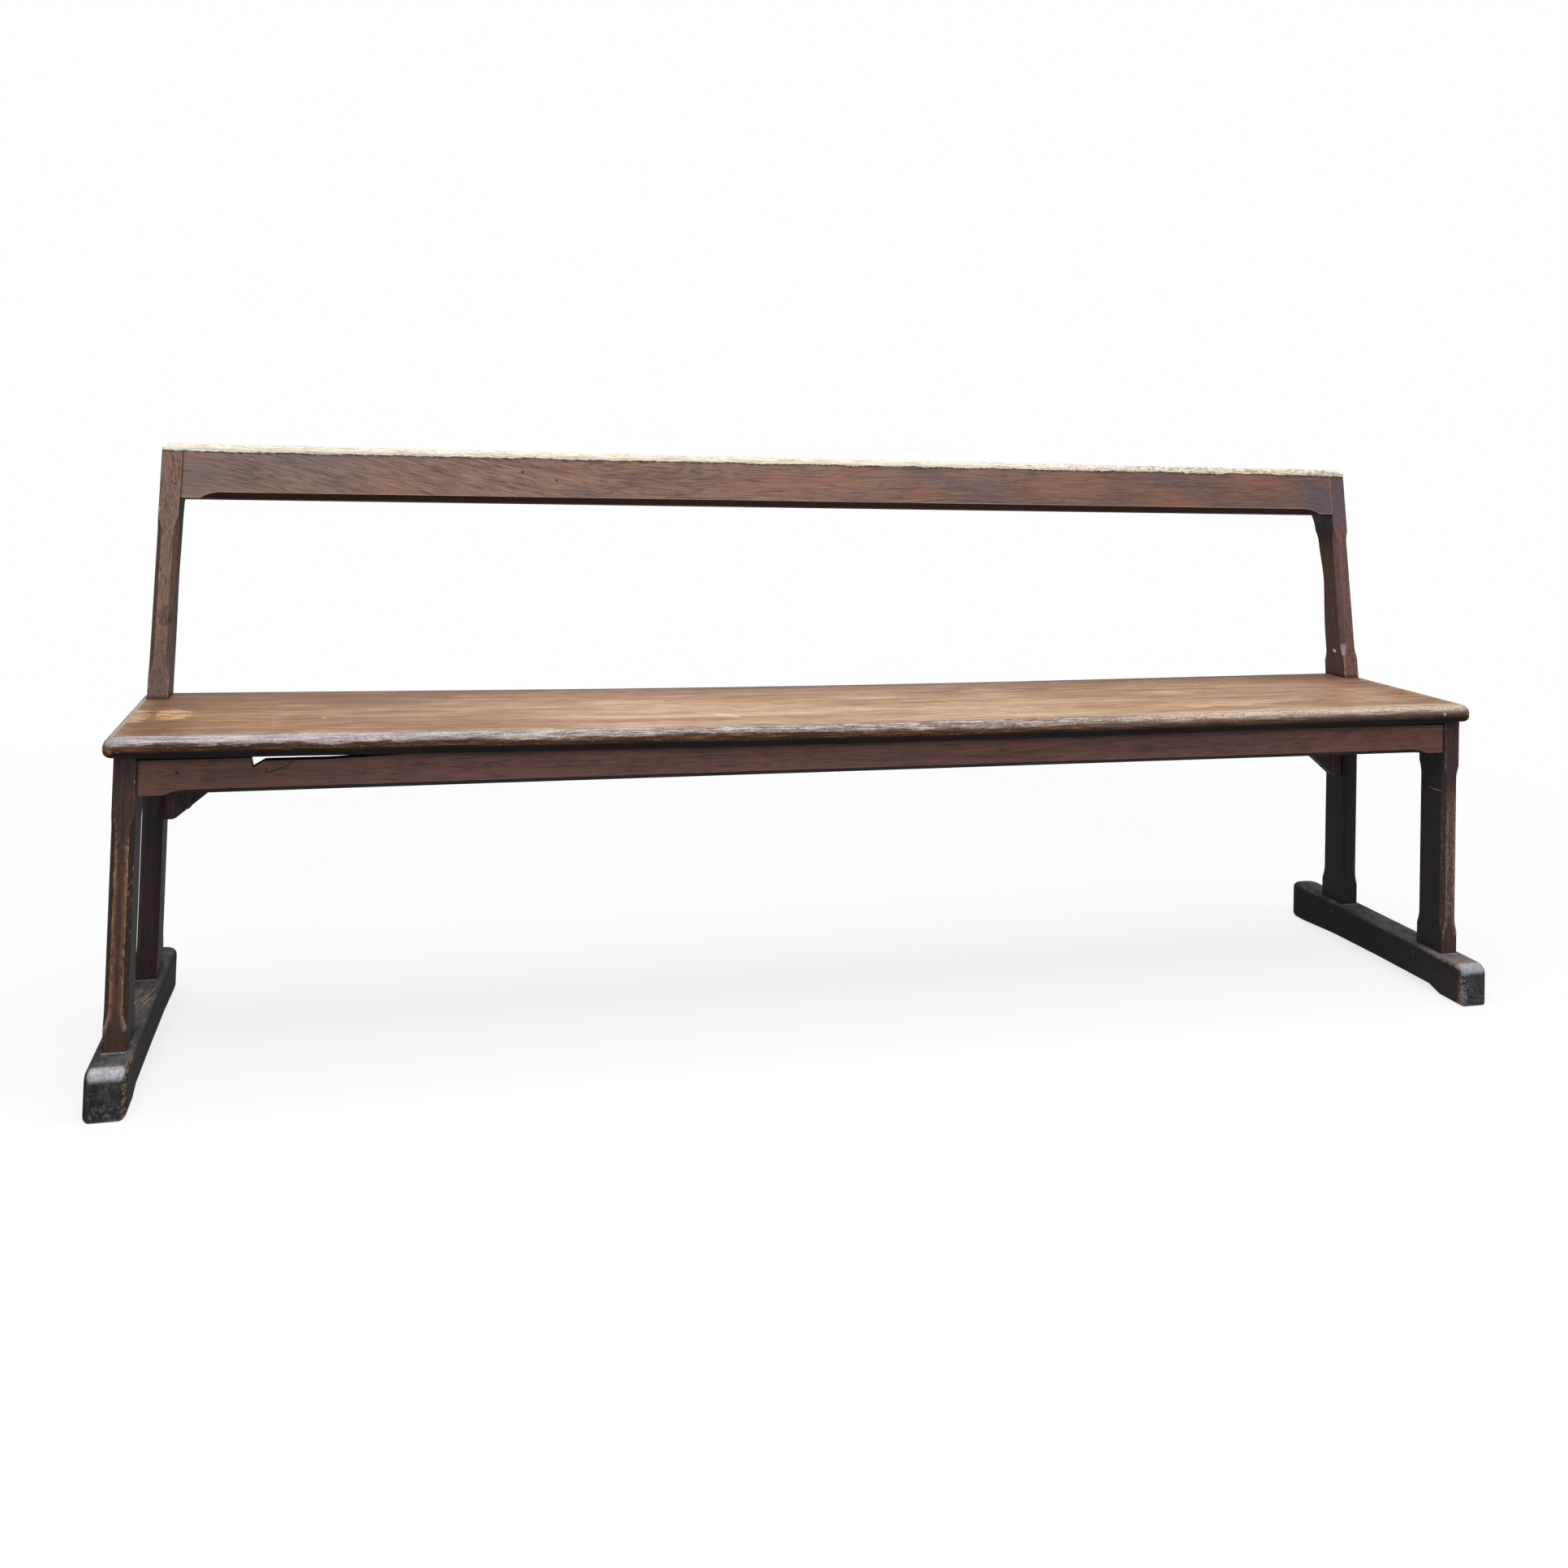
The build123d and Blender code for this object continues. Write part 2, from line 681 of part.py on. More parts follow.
# Seat board: one long board, flat over the end frames and sagging a little between them, rounded
# along its front and its ends, and notched at the rear corners for the back posts
seat_ends = {}
for side, sign in sides.items():
    with BuildPart() as seat_end:
        with BuildSketch(Plane.XY.offset(seat_under)):
            with Locations((sign * (seat_joint_x + seat_end_x) / 2, seat_front_y + seat_depth / 2)):
                Rectangle(seat_end_x - seat_joint_x, seat_depth)
        extrude(amount=seat_thickness)
        outward = Axis((0, 0, 0), (sign, 0, 0))
        front_uprights = seat_end.edges().filter_by(Axis.Z).group_by(Axis.Y)[0]
        fillet(front_uprights.sort_by(outward)[-1], seat_corner_radius)
        for rank, rounding in ((0, seat_under_round), (-1, seat_top_round)):
            joint_edges = seat_end.faces().sort_by(outward)[0].edges()
            rear_edges = seat_end.faces().sort_by(Axis.Y)[-1].edges()
            fillet(seat_end.faces().sort_by(Axis.Z)[rank].edges() - joint_edges - rear_edges, rounding)
        with BuildSketch(Plane.YZ.offset(sign * frame_x)):
            over_top = seat_thickness + overrun
            lean = over_top * tan(radians(back_rake))
            with BuildLine():
                Polyline(
                    (rear_leg_y - seat_notch_play, seat_under - overrun),
                    (rear_leg_y - seat_notch_play, seat_under),
                    (rear_leg_y - seat_notch_play + lean, seat_under + over_top),
                    (rear_leg_y + leg_depth + lean, seat_under + over_top),
                    (rear_leg_y + leg_depth, seat_under - overrun),
                    close=True,
                )
            make_face()
        extrude(amount=leg_width / 2 + seat_notch_play, both=True, mode=Mode.SUBTRACT)
        for mouth in screw_mouths(sign):
            bore_for_peg(mouth, screw_diameter, screw_recess + screw_length)
    seat_ends[side] = seat_end.part

with BuildPart() as seat_board:
    stations = [seat_joint_x * (2 * span / seat_spans - 1) for span in range(seat_spans + 1)]
    for station in stations:
        with BuildSketch(Plane.YZ.offset(station)) as section:
            low = seat_under + bow(station)
            with Locations((seat_front_y + seat_depth / 2, low + seat_thickness / 2)):
                Rectangle(seat_depth, seat_thickness)
            corners = section.vertices().sort_by(Axis.X)
            fillet(corners[2:], seat_rear_round)
            fillet(corners[:2].sort_by(Axis.Y)[0], seat_under_round)
            fillet(section.vertices().group_by(Axis.X)[0].sort_by(Axis.Y)[-1], seat_top_round)
    loft(ruled=True)
    add(seat_ends.values())
    bore_for_peg(plug_mouth, plug_diameter, plug_length)
keep(seat_board, "seat_board")

# Plug in the seat's front edge near its right end
with BuildPart() as seat_plug:
    drive_peg(plug_mouth, plug_diameter, plug_length)
keep(seat_plug, "seat_plug")

# Back rail: between the posts and flush with their fronts, rounded on top, with a stopped
# chamfer along its lower front edge
with BuildPart() as back_rail:
    with BuildSketch(back_section) as rail_outline:
        with Locations((rail_thickness / 2, rail_middle)):
            Rectangle(rail_thickness, rail_height)
        fillet(rail_outline.vertices().group_by(Axis.Y)[-1], rail_top_round)
        fillet(rail_outline.vertices().group_by(Axis.Y)[0].sort_by(Axis.X)[-1], arris_round)
    extrude(amount=inner_x, both=True)
    lower_edge = on_back(0, rail_foot, 0)
    inward = (up_post + through_post).normalized()
    chamfer_end = inner_x - rail_chamfer_inset
    cut_stopped_chamfer(lower_edge, along_bench, inward, -chamfer_end, chamfer_end, rail_chamfer)
    for sign in sides.values():
        add_tenon(rail_joint(sign), rail_tenon_thickness, rail_tenon_height, rail_tenon_length)
        for mouth in rail_peg_mouths(sign):
            bore_for_peg(mouth, rail_peg_diameter, rail_peg_length)
keep(back_rail, "back_rail")
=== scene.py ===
import math

import bpy
from mathutils import Matrix, Vector


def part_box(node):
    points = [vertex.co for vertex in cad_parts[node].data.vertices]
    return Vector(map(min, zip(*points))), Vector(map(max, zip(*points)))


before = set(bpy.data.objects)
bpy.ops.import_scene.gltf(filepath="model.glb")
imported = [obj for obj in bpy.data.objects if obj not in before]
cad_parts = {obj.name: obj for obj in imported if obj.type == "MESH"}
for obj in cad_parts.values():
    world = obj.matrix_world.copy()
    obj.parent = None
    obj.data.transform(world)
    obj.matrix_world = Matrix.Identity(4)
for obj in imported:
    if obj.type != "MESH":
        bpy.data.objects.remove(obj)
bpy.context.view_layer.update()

# Feet: two heavy runners of the same dark-stained hardwood as the rest, hollowed below and with
# their ends rounded over. Years on a damp floor have blackened them, and shoes have worn their
# front corners to bare grey wood. Painted light lies over them too: a highlight on the grey of the
# noses, a sheen on the tops, a pale line before the legs and a bluish reflection on the right front.


class Tone:
    """A value or a colour of a finish over the wood. Sums written on it add their own nodes."""

    def __init__(self, tree, socket):
        self.tree = tree
        self.socket = socket

    def node(self, kind, settings, inputs, output=0):
        """Adds a node with these settings, then these sockets, and gives what it puts out."""
        made = self.tree.nodes.new(kind)
        for name, value in settings.items():
            setattr(made, name, value)
        for name, value in inputs.items():
            if isinstance(value, Tone):
                self.tree.links.new(value.socket, made.inputs[name])
            else:
                made.inputs[name].default_value = value
        return Tone(self.tree, made.outputs[output])

    def sum(self, operation, first, second):
        return self.node("ShaderNodeMath", {"operation": operation}, {0: first, 1: second})

    def __add__(self, other):
        return self.sum("ADD", self, other)

    def __radd__(self, other):
        return self.sum("ADD", other, self)

    def __sub__(self, other):
        return self.sum("SUBTRACT", self, other)

    def __rsub__(self, other):
        return self.sum("SUBTRACT", other, self)

    def __mul__(self, other):
        return self.sum("MULTIPLY", self, other)

    def __rmul__(self, other):
        return self.sum("MULTIPLY", other, self)

    def __abs__(self):
        return self.sum("ABSOLUTE", self, 0)


def higher(first, second):
    return first.sum("MAXIMUM", first, second)


def rise(tone, low, high):
    """From 0 at low to 1 at high, eased at both ends. It falls where low is the larger."""
    return tone.node(
        "ShaderNodeMapRange",
        {"interpolation_type": "SMOOTHSTEP"},
        {"Value": tone, "From Min": low, "From Max": high},
    )


def blend(share, first, second):
    """The first colour where the share is 0, and the second where it is 1."""
    return share.node("ShaderNodeMix", {"data_type": "RGBA"}, {0: share, 6: first, 7: second}, 2)


def shade(red, green, blue):
    """A colour as a paint card gives it, from 0 to 255, for the shader."""
    return [((part / 255 + 0.055) / 1.055) ** 2.4 for part in (red, green, blue)] + [1]


def spread(place, stretch, scale, detail=3.0, roughness=0.55, start=(0, 0, 0), twist=0.0):
    """Cloudy variation around a half, drawn out along the axes whose stretch is small."""
    laid = place.node("ShaderNodeMapping", {}, {"Vector": place, "Scale": stretch, "Location": start})
    return laid.node(
        "ShaderNodeTexNoise",
        {},
        {"Vector": laid, "Scale": scale, "Detail": detail, "Roughness": roughness, "Distortion": twist},
    )


def patch(place, middle, reach, turn=(0, 0, 0), ragged=0.5, fineness=60):
    """1 inside an oval spot on the wood and 0 outside it, with a ragged border."""
    laid = place.node(
        "ShaderNodeMapping",
        {"vector_type": "TEXTURE"},
        {"Vector": place, "Location": middle, "Rotation": turn, "Scale": reach},
    )
    away = laid.node("ShaderNodeVectorMath", {"operation": "LENGTH"}, {0: laid}, "Value")
    border = spread(place, (0.4, 1, 1), fineness)
    return rise(away + ragged * (border - 0.5), 1.1, 0.75)


def start_finish(name):
    """A new finish: the place on the settle, and the way the surface faces there."""
    material = bpy.data.materials.new(name)
    material.use_nodes = True
    tree = material.node_tree
    place = Tone(tree, tree.nodes.new("ShaderNodeTexCoord").outputs["Object"])
    facing = Tone(tree, tree.nodes.new("ShaderNodeNewGeometry").outputs["True Normal"])
    return material, place, facing


def parts_of(tone, axes="xyz"):
    """What a place or a direction measures along each of these axes."""
    return [tone.node("ShaderNodeSeparateXYZ", {}, {0: tone}, "xyz".index(axis)) for axis in axes]


def arris(facing, radius):
    """1 at the sharp edges of a piece, falling to 0 within the radius of them."""
    eased = facing.node("ShaderNodeBevel", {"samples": 6}, {"Radius": radius})
    alike = facing.node("ShaderNodeVectorMath", {"operation": "DOT_PRODUCT"}, {0: eased, 1: facing}, "Value")
    tilt = alike.sum("POWER", higher(2 - 2 * alike, 0.0), 0.5)
    return rise(tilt, 0.02, 0.34)


def put_on(material, colour, roughness, height, depth, pieces, gloss=0.4):
    """Feeds the shader, and gives the finish to these pieces of the frame."""
    tree = material.node_tree
    shader = tree.nodes["Principled BSDF"]
    tree.links.new(colour.socket, shader.inputs["Base Color"])
    tree.links.new(roughness.socket, shader.inputs["Roughness"])
    relief = height.node("ShaderNodeBump", {}, {"Height": height, "Distance": depth, "Strength": 1.0})
    tree.links.new(relief.socket, shader.inputs["Normal"])
    shader.inputs["Specular IOR Level"].default_value = gloss
    for piece in pieces:
        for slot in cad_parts[piece].material_slots:
            slot.material = material


def wood(place, along, across, seed):
    """The growth rings, the fine streaks, the open pores and the blotches of a piece of old wood."""
    ring_stretch, streak_stretch, pore_stretch, blotch_stretch = [
        [1 if axis != along else share for axis in "xyz"] for share in (0.1, 0.06, 0.028, 0.25)
    ]
    start = (seed * 3.1, seed * 1.7, seed * 2.3)
    swell = spread(place, ring_stretch, across, 2.0, 0.5, start)
    streaks = spread(place, streak_stretch, 290, 4.0, 0.7, start)
    rings = swell.sum("PINGPONG", swell * 34 + 0.8 * streaks, 1.0)
    pores = rise(spread(place, pore_stretch, 800, 2.0, 0.65, start), 0.57, 0.72)
    blotches = spread(place, blotch_stretch, 14, 4.0, 0.6, start)
    return rings, streaks, pores, blotches


foot_low, foot_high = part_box("right_foot")
foot_middle_x = (foot_low.x + foot_high.x) / 2
foot_peg_z = 0.0455
leg_fronts_y = (-0.167, 0.082)
foot_black = shade(44, 43, 44)
foot_side = shade(34, 30, 28)
foot_sky_reflection = shade(60, 64, 82)
foot_top_sheen = shade(92, 90, 94)
foot_streak = shade(80, 56, 44)
foot_old_stain = shade(70, 44, 36)
foot_damp = shade(34, 34, 40)
foot_ash = shade(118, 120, 130)
foot_dust = shade(116, 116, 120)
foot_trodden = shade(136, 124, 118)
foot_dry_mud = shade(98, 86, 74)
foot_line_highlight = shade(158, 156, 160)
foot_cloud = shade(74, 74, 78)
foot_soot = shade(22, 22, 24)
foot_tan = shade(150, 122, 94)
foot_chip = shade(180, 166, 152)
foot_bare_and_highlight = shade(196, 198, 206)
foot_bare_nick = shade(158, 154, 158)
foot_scrape = shade(158, 162, 172)
foot_speck = shade(116, 116, 118)
foot_fan = shade(112, 88, 68)
foot_fan_gold = shade(176, 150, 114)

finish, place, facing = start_finish("blackened_foot")
x, y, z = parts_of(place)
side_x, side_y, side_z = parts_of(facing)
streaks, pores, blotches = wood(place, "y", 26, 1)[1:]
right_foot = rise(x, 0, 0.1)
on_top = rise(side_z, 0.4, 0.9)
side_on = rise(abs(side_x), 0.7, 0.95)
end_grain = rise(abs(side_y), 0.7, 0.95)
near_front = rise(y, foot_low.y + 0.14, foot_low.y + 0.015)
inner_half = rise(abs(x), foot_middle_x + 0.006, foot_middle_x - 0.006)

colour = blend(rise(blotches, 0.3, 0.7), foot_side, foot_black)
# Painted reflection: a bluish tint of the sky on the front end of the right foot.
colour = blend(right_foot * rise(0 - side_y, 0.7, 0.95) * 0.4, colour, foot_sky_reflection)
# Painted sheen: the faces that point up are lighter and bluish grey, in blotches.
colour = blend(on_top * rise(blotches + 0.4 * streaks, 0.35, 0.85), colour, foot_top_sheen)
colour = blend(rise(streaks, 0.58, 0.8) * 0.5, colour, foot_streak)
stained = side_on * near_front * rise(blotches, 0.4, 0.6)
colour = blend(stained * 0.35, colour, foot_old_stain)
mottled = spread(place, (1, 0.6, 1), 60, 4.0, 0.7, (2, 0, 0))
colour = blend(on_top * rise(mottled, 0.52, 0.64) * 0.7, colour, foot_damp)
colour = blend(on_top * rise(mottled, 0.46, 0.36) * 0.5, colour, foot_ash)
dust = spread(place, (1, 0.5, 1), 420, 2.0, 0.7)
colour = blend(side_on * rise(dust, 0.63, 0.72) * 0.5, colour, foot_dust)
trodden = on_top * near_front * right_foot * rise(blotches + 0.5 * streaks, 0.4, 0.8)
colour = blend(trodden * 0.8, colour, foot_trodden)
muddy = on_top * rise(x, 0, -0.1) * rise(blotches + 0.6 * (streaks - 0.5), 0.5, 0.72)
colour = blend(muddy * 0.5, colour, foot_dry_mud)
# Painted highlight: a pale line on the top of each foot just in front of the legs.
ahead_of_leg = on_top * rise(abs(abs(x) - foot_middle_x), 0.0155, 0.013) * rise(streaks, 0.3, 0.55)
for leg_front_y in leg_fronts_y:
    lit_line = ahead_of_leg * rise(abs(y - (leg_front_y - 0.003)), 0.0035, 0.0015)
    colour = blend(lit_line * 0.6, colour, foot_line_highlight)
specks = spread(place, (1, 0.3, 1), 260, 3.0, 0.7)
clouds = spread(place, (1, 0.3, 1), 75, 3.0, 0.65)
low_down = rise(z + 0.012 * (blotches - 0.5), 0.04, 0.012)
colour = blend(end_grain * rise(clouds, 0.42, 0.62) * 0.7, colour, foot_cloud)
colour = blend(end_grain * rise(clouds, 0.46, 0.34) * 0.75, colour, foot_soot)
colour = blend(end_grain * rise(specks, 0.52, 0.66) * (0.25 + 0.55 * low_down), colour, foot_speck)
edge = arris(facing, 0.006) * (1 - side_on * rise(abs(z - foot_peg_z), 0.009, 0.005))
rub = spread(place, (1, 0.25, 1), 55, 3.0, 0.6)
nick = spread(place, (1, 0.6, 1), 230, 4.0, 0.75)
wear = rise(edge + 1.2 * (rub - 0.5) + 1.5 * (nick - 0.5), 0.5, 0.95)
tan_or_grey = blend(rise(nick, 0.45, 0.6), foot_tan, foot_speck)
colour = blend(wear * (0.12 + 0.5 * near_front * inner_half), colour, tan_or_grey)
corner = rise(abs(x), foot_low.x + 0.011, foot_low.x + 0.004) * rise(y, foot_low.y + 0.01, foot_low.y + 0.003)
chips = spread(place, (1, 0.6, 1), 300, 4.0, 0.8, (0.4, 0, 0))
corner = rise(corner + 2.2 * (chips - 0.5) + 1.6 * (rub - 0.5), 0.85, 1.2)
colour = blend(corner * 0.65, colour, blend(rise(chips, 0.54, 0.68), foot_tan, foot_chip))
# The pale nose: worn bare wood with a painted highlight over the rounding that faces up and forward.
nose = rise(side_z - side_y + 0.35 * (nick - 0.5), 1.02, 1.4) * rise(y, foot_low.y + 0.05, foot_low.y + 0.02)
nose = nose * (1 - 0.3 * rise(spread(place, (0.35, 1, 1), 170, 4.0, 0.7), 0.5, 0.66))
nose_colour = blend(rise(nick, 0.4, 0.64), foot_bare_and_highlight, foot_bare_nick)
colour = blend(nose * (0.95 - 0.25 * right_foot), colour, nose_colour)
lip = rise(side_z * abs(side_x), 0.25, 0.42) * inner_half * near_front
colour = blend(lip * rise(nick + 0.5 * (rub - 0.5), 0.48, 0.6) * 0.75, colour, foot_tan)
scraped = end_grain * right_foot * rise(x, foot_low.x + 0.02, foot_low.x + 0.004)
colour = blend(scraped * rise(specks + 0.4 * (rub - 0.5), 0.46, 0.58) * 0.65, colour, foot_scrape)
scuffs = patch(place, (-0.967, -0.025, 0.061), (0.015, 0.085, 0.02), (0, 0, -0.14), 0.9, 120)
slant = place.node("ShaderNodeMapping", {}, {"Vector": place, "Rotation": (0, 0, 0.14)})
fans = spread(slant, (1, 0.06, 1), 300, 3.0, 0.7, (0.1, 0, 0.2))
fan_colour = blend(rise(y, -0.05, 0.02), foot_fan, foot_fan_gold)
colour = blend(scuffs * rise(fans, 0.48, 0.58) * 0.85, colour, fan_colour)
roughness = 0.6 + 0.25 * streaks
height = 0.5 * streaks - 0.5 * pores + 0.7 * end_grain * specks + 0.7 * wear * nick + 0.3 * nick
put_on(finish, colour, roughness, height, 0.0012, ["left_foot", "right_foot"], 0.3)

# Front legs: upright boards on edge, tenoned into the feet, with long stopped chamfers down all
# four corners. The stain has gone deep brown, and knees and brooms have rubbed the arrises down
# to the golden wood.

leg_red = shade(90, 57, 48)
leg_brown = shade(72, 54, 47)
leg_dark = shade(32, 29, 29)
rail_shadow_black = shade(12, 10, 10)
leg_grime = shade(24, 18, 17)
leg_gold = shade(170, 120, 76)
leg_rosy = shade(168, 142, 130)
leg_pale = shade(190, 170, 150)
leg_scuffed = shade(126, 98, 90)
leg_scrape = shade(178, 142, 116)


def chamfer_of(facing):
    """1 on the sloping faces of the chamfers, and 0 on the flat sides."""
    sideways = abs(parts_of(facing, "x")[0])
    return rise(sideways, 0.3, 0.5) * rise(sideways, 0.95, 0.85)


def stained_leg(place, facing, colours, seed, worn_share, reach):
    """The colour, the roughness and the relief of a leg or a post."""
    red, brown, dark, worn, pale = colours
    x, z = parts_of(place, "xz")
    side_x, side_y = parts_of(facing, "xy")
    rings, streaks, pores, blotches = wood(place, "z", 24, seed)
    colour = blend(rise(blotches + 0.3 * (rings - 0.5), 0.35, 0.65), brown, red)
    colour = blend(rise(streaks, 0.45, 0.72) * 0.65, colour, dark)
    colour = blend(pores * 0.7, colour, dark)
    # Painted shade: the side faces a little darker, and the faces turned in towards the middle of the settle
    # much darker.
    colour = blend(rise(abs(side_x), 0.75, 0.98) * 0.35, colour, dark)
    inward = rise(0 - side_x * x, 0.7, 0.95)
    colour = blend(inward * (0.7 + 0.35 * streaks), colour, dark)
    # Painted shadow: near black on the inner faces just under the back rail.
    colour = blend(inward * rise(z, 0.64, 0.715) * 0.85, colour, rail_shadow_black)
    colour = blend(chamfer_of(facing) * 0.6, colour, dark)
    at_pegs = rise(z, 0.712, 0.716) * rise(abs(x), 0.976, 0.974)
    front = rise(abs(side_y), 0.8, 0.95)
    edge = arris(facing, reach) * (1 - at_pegs) * (0.45 + 0.55 * front)
    rub = spread(place, (1, 1, 0.13), 60, 3.0, 0.65, (seed, 0, seed))
    nick = spread(place, (1, 1, 0.4), 260, 4.0, 0.75, (0, seed, 0))
    ragged = 1.7 * (rub - 0.5) + 3.2 * (nick - 0.5)
    wear = rise(edge * worn_share + ragged * edge, 0.55, 0.9)
    colour = blend(wear * 0.85, colour, blend(rise(nick, 0.52, 0.66), worn, pale))
    grit = spread(place, (1, 1, 0.45), 330, 3.0, 0.75, (seed, seed, 0))
    colour = blend(rise(grit, 0.56, 0.68) * 0.5, colour, leg_grime)
    colour = blend(rise(grit, 0.37, 0.27) * (0.25 + 0.5 * edge), colour, worn)
    roughness = 0.46 + 0.22 * streaks + 0.2 * wear
    height = 0.45 * streaks - 0.7 * pores + 0.25 * rings - 0.6 * wear * nick + 0.2 * nick
    return colour, roughness, height


finish, place, facing = start_finish("rubbed_front_leg")
x, z = parts_of(place, "xz")
side_y = parts_of(facing, "y")[0]
right_leg = rise(x, -0.1, 0.1)
rubbed_low = 0.3 + 0.85 * rise(z, 0.37, 0.27) * rise(z, 0.075, 0.1)
rubbed = blend(higher(right_leg, rise(z, 0.12, 0.09)), leg_gold, leg_rosy)
leg_colours = (leg_red, leg_brown, leg_dark, rubbed, leg_pale)
colour, roughness, height = stained_leg(place, facing, leg_colours, 2, rubbed_low - 0.2 * right_leg, 0.0105)
scrapes = rise(spread(place, (1, 1, 0.45), 300, 4.0, 0.8, (4, 0, 0)), 0.53, 0.63)
scraped = right_leg * rise(0 - side_y, 0.6, 0.9) * rise(z, 0.33, 0.28) * rise(z, 0.1, 0.13)
colour = blend(scraped * 0.25, colour, leg_scuffed)
colour = blend(scraped * scrapes * 0.7, colour, leg_scrape)
# Painted shade: darker towards the seat above.
colour = blend(rise(z, 0.38, 0.43) * 0.5, colour, leg_dark)
scratch = patch(place, (0.956, -0.146, 0.313), (0.004, 0.016, 0.0008), (0, 0, 0), 0.3)
colour = blend(scratch * 0.7, colour, leg_pale)
put_on(finish, colour, roughness, height, 0.0008, ["left_front_leg", "right_front_leg"], 0.28)

# Back posts: each is one board, upright to the seat and then raked back to the rail. The left one
# is a warmer brown, the right one darker, redder and mottled, and their tops are worn bare like the
# rail's. The rail's pegs, planed off with the posts' fronts, share their finish.

rail_top_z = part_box("back_rail")[1].z
bare_depth = 0.01071
bare_cream = shade(230, 221, 206)
bare_grey = shade(200, 186, 166)
bare_pit = shade(132, 106, 82)
bare_rim = shade(46, 33, 28)


def worn_top(place, colour, height):
    """Bare, pale wood over the rounded top of the back, above a ragged dark line."""
    x, z = parts_of(place, "xz")
    wander = spread(place, (1, 0.2, 0.2), 22, 2.0, 0.5)
    chip = spread(place, (1, 1, 1), 150, 4.0, 0.75)
    over = z - (rail_top_z - bare_depth) - 0.006 * (wander - 0.5) - 0.0045 * (chip - 0.5)
    bare = rise(over, -0.0003, 0.0007)
    rim = rise(over - 0.004 * (wander - 0.5), -0.0045, -0.0006) * (1 - bare)
    fibres = spread(place, (0.05, 1, 1), 480, 4.0, 0.7)
    pits = spread(place, (0.35, 1, 1), 330, 3.0, 0.75)
    wood_colour = blend(rise(fibres, 0.4, 0.68), bare_cream, bare_grey)
    rougher = 0.1 * rise(x, 0.0, 0.9)
    wood_colour = blend(rise(pits + rougher, 0.56, 0.7) * 0.8, wood_colour, bare_pit)
    colour = blend(rim * rise(chip, 0.35, 0.6) * 0.9, colour, bare_rim)
    colour = blend(bare, colour, wood_colour)
    return colour, height + bare * (1.2 * fibres + 1.0 * pits), bare


post_left_red = shade(140, 103, 88)
post_left_brown = shade(122, 99, 88)
post_left_dark = shade(66, 46, 38)
post_right_red = shade(125, 87, 78)
post_right_brown = shade(106, 79, 75)
post_right_dark = shade(78, 52, 44)
post_worn = shade(186, 150, 112)
post_pale = shade(205, 188, 168)
post_low_side = shade(40, 33, 34)
post_low_inside = shade(17, 15, 15)
post_dull = shade(92, 72, 70)
post_seat_shadow = shade(34, 24, 22)
post_scuff = shade(66, 52, 50)
post_mauve = shade(92, 82, 92)
post_rust = shade(134, 88, 64)
post_fleck = shade(228, 214, 196)
post_glare_lilac = shade(150, 142, 158)
post_bruise = shade(90, 82, 88)

for side, red, brown, dark, seed in (
    ("left", post_left_red, post_left_brown, post_left_dark, 3),
    ("right", post_right_red, post_right_brown, post_right_dark, 4),
):
    finish, place, facing = start_finish(f"raked_{side}_post")
    x, z = parts_of(place, "xz")
    if side == "left":
        worn_share = 0.45 + 0.4 * rise(z, 0.56, 0.5)
    else:
        worn_share = 0.3 + 0.5 * rise(z, 0.51, 0.49)
    post_colours = (red, brown, dark, post_worn, post_pale)
    colour, roughness, height = stained_leg(place, facing, post_colours, seed, worn_share, 0.0055)
    # Painted shade: the posts dark below the seat, and near black on their inner faces.
    facing_in = rise(0 - parts_of(facing, "x")[0] * x, 0.6, 0.9)
    under_seat_shade = blend(facing_in, post_low_side, post_low_inside)
    colour = blend(rise(z, 0.455, 0.42) * 0.8, colour, under_seat_shade)
    colour = blend(rise(z, 0.57, 0.5) * rise(x, 0.1, -0.1) * 0.55, colour, post_dull)
    # Painted shadow: a dark line where the post stands on the seat.
    colour = blend(rise(z, 0.458, 0.4505) * 0.75, colour, post_seat_shadow)
    if side == "left":
        scuff = patch(place, (-0.966, 0.105, 0.565), (0.012, 0.05, 0.013), (0, 0, 0), 2.6, 230)
        colour = blend(scuff * 0.6, colour, post_scuff)
    else:
        mottle = spread(place, (1, 1, 0.35), 110, 3.0, 0.65, (2, 0, 1))
        above_seat = rise(z, 0.45, 0.47) * rise(z, 0.8, 0.55)
        colour = blend(above_seat * rise(mottle, 0.5, 0.62) * 0.4, colour, post_mauve)
        colour = blend(above_seat * rise(mottle, 0.46, 0.34) * 0.3, colour, post_rust)
        fleck = patch(place, (0.956, 0.117, 0.493), (0.01, 0.005, 0.0026), (0.3, 0, 0), 0.3)
        colour = blend(fleck, colour, post_fleck)
        # Painted highlight: a lilac glare on the chamfer stop of the right post.
        glare_spot = patch(place, (0.956, 0.09, 0.498), (0.02, 0.014, 0.012), (0, 0, 0), 0.5)
        colour = blend(glare_spot * chamfer_of(facing) * 0.8, colour, post_glare_lilac)
        bruise = spread(place, (1, 1, 1), 60, 3.0, 0.65)
        colour = blend(rise(z, 0.69, 0.74) * rise(bruise, 0.25, 0.5) * 0.85, colour, post_bruise)
    colour, height, bare = worn_top(place, colour, height)
    pieces = [f"{side}_back_post", f"{side}_rail_pegs"]
    put_on(finish, colour, roughness + 0.2 * bare, height, 0.0008, pieces, 0.3)

# Bearers: short rails tenoned between the legs of each end frame, under the ends of the seat
# board, which is screwed to them from below. They are out of the light, and have only a thin old
# stain.

bearer_brown = shade(70, 54, 46)
bearer_dark = shade(42, 34, 31)
bearer_rubbed = shade(110, 86, 68)

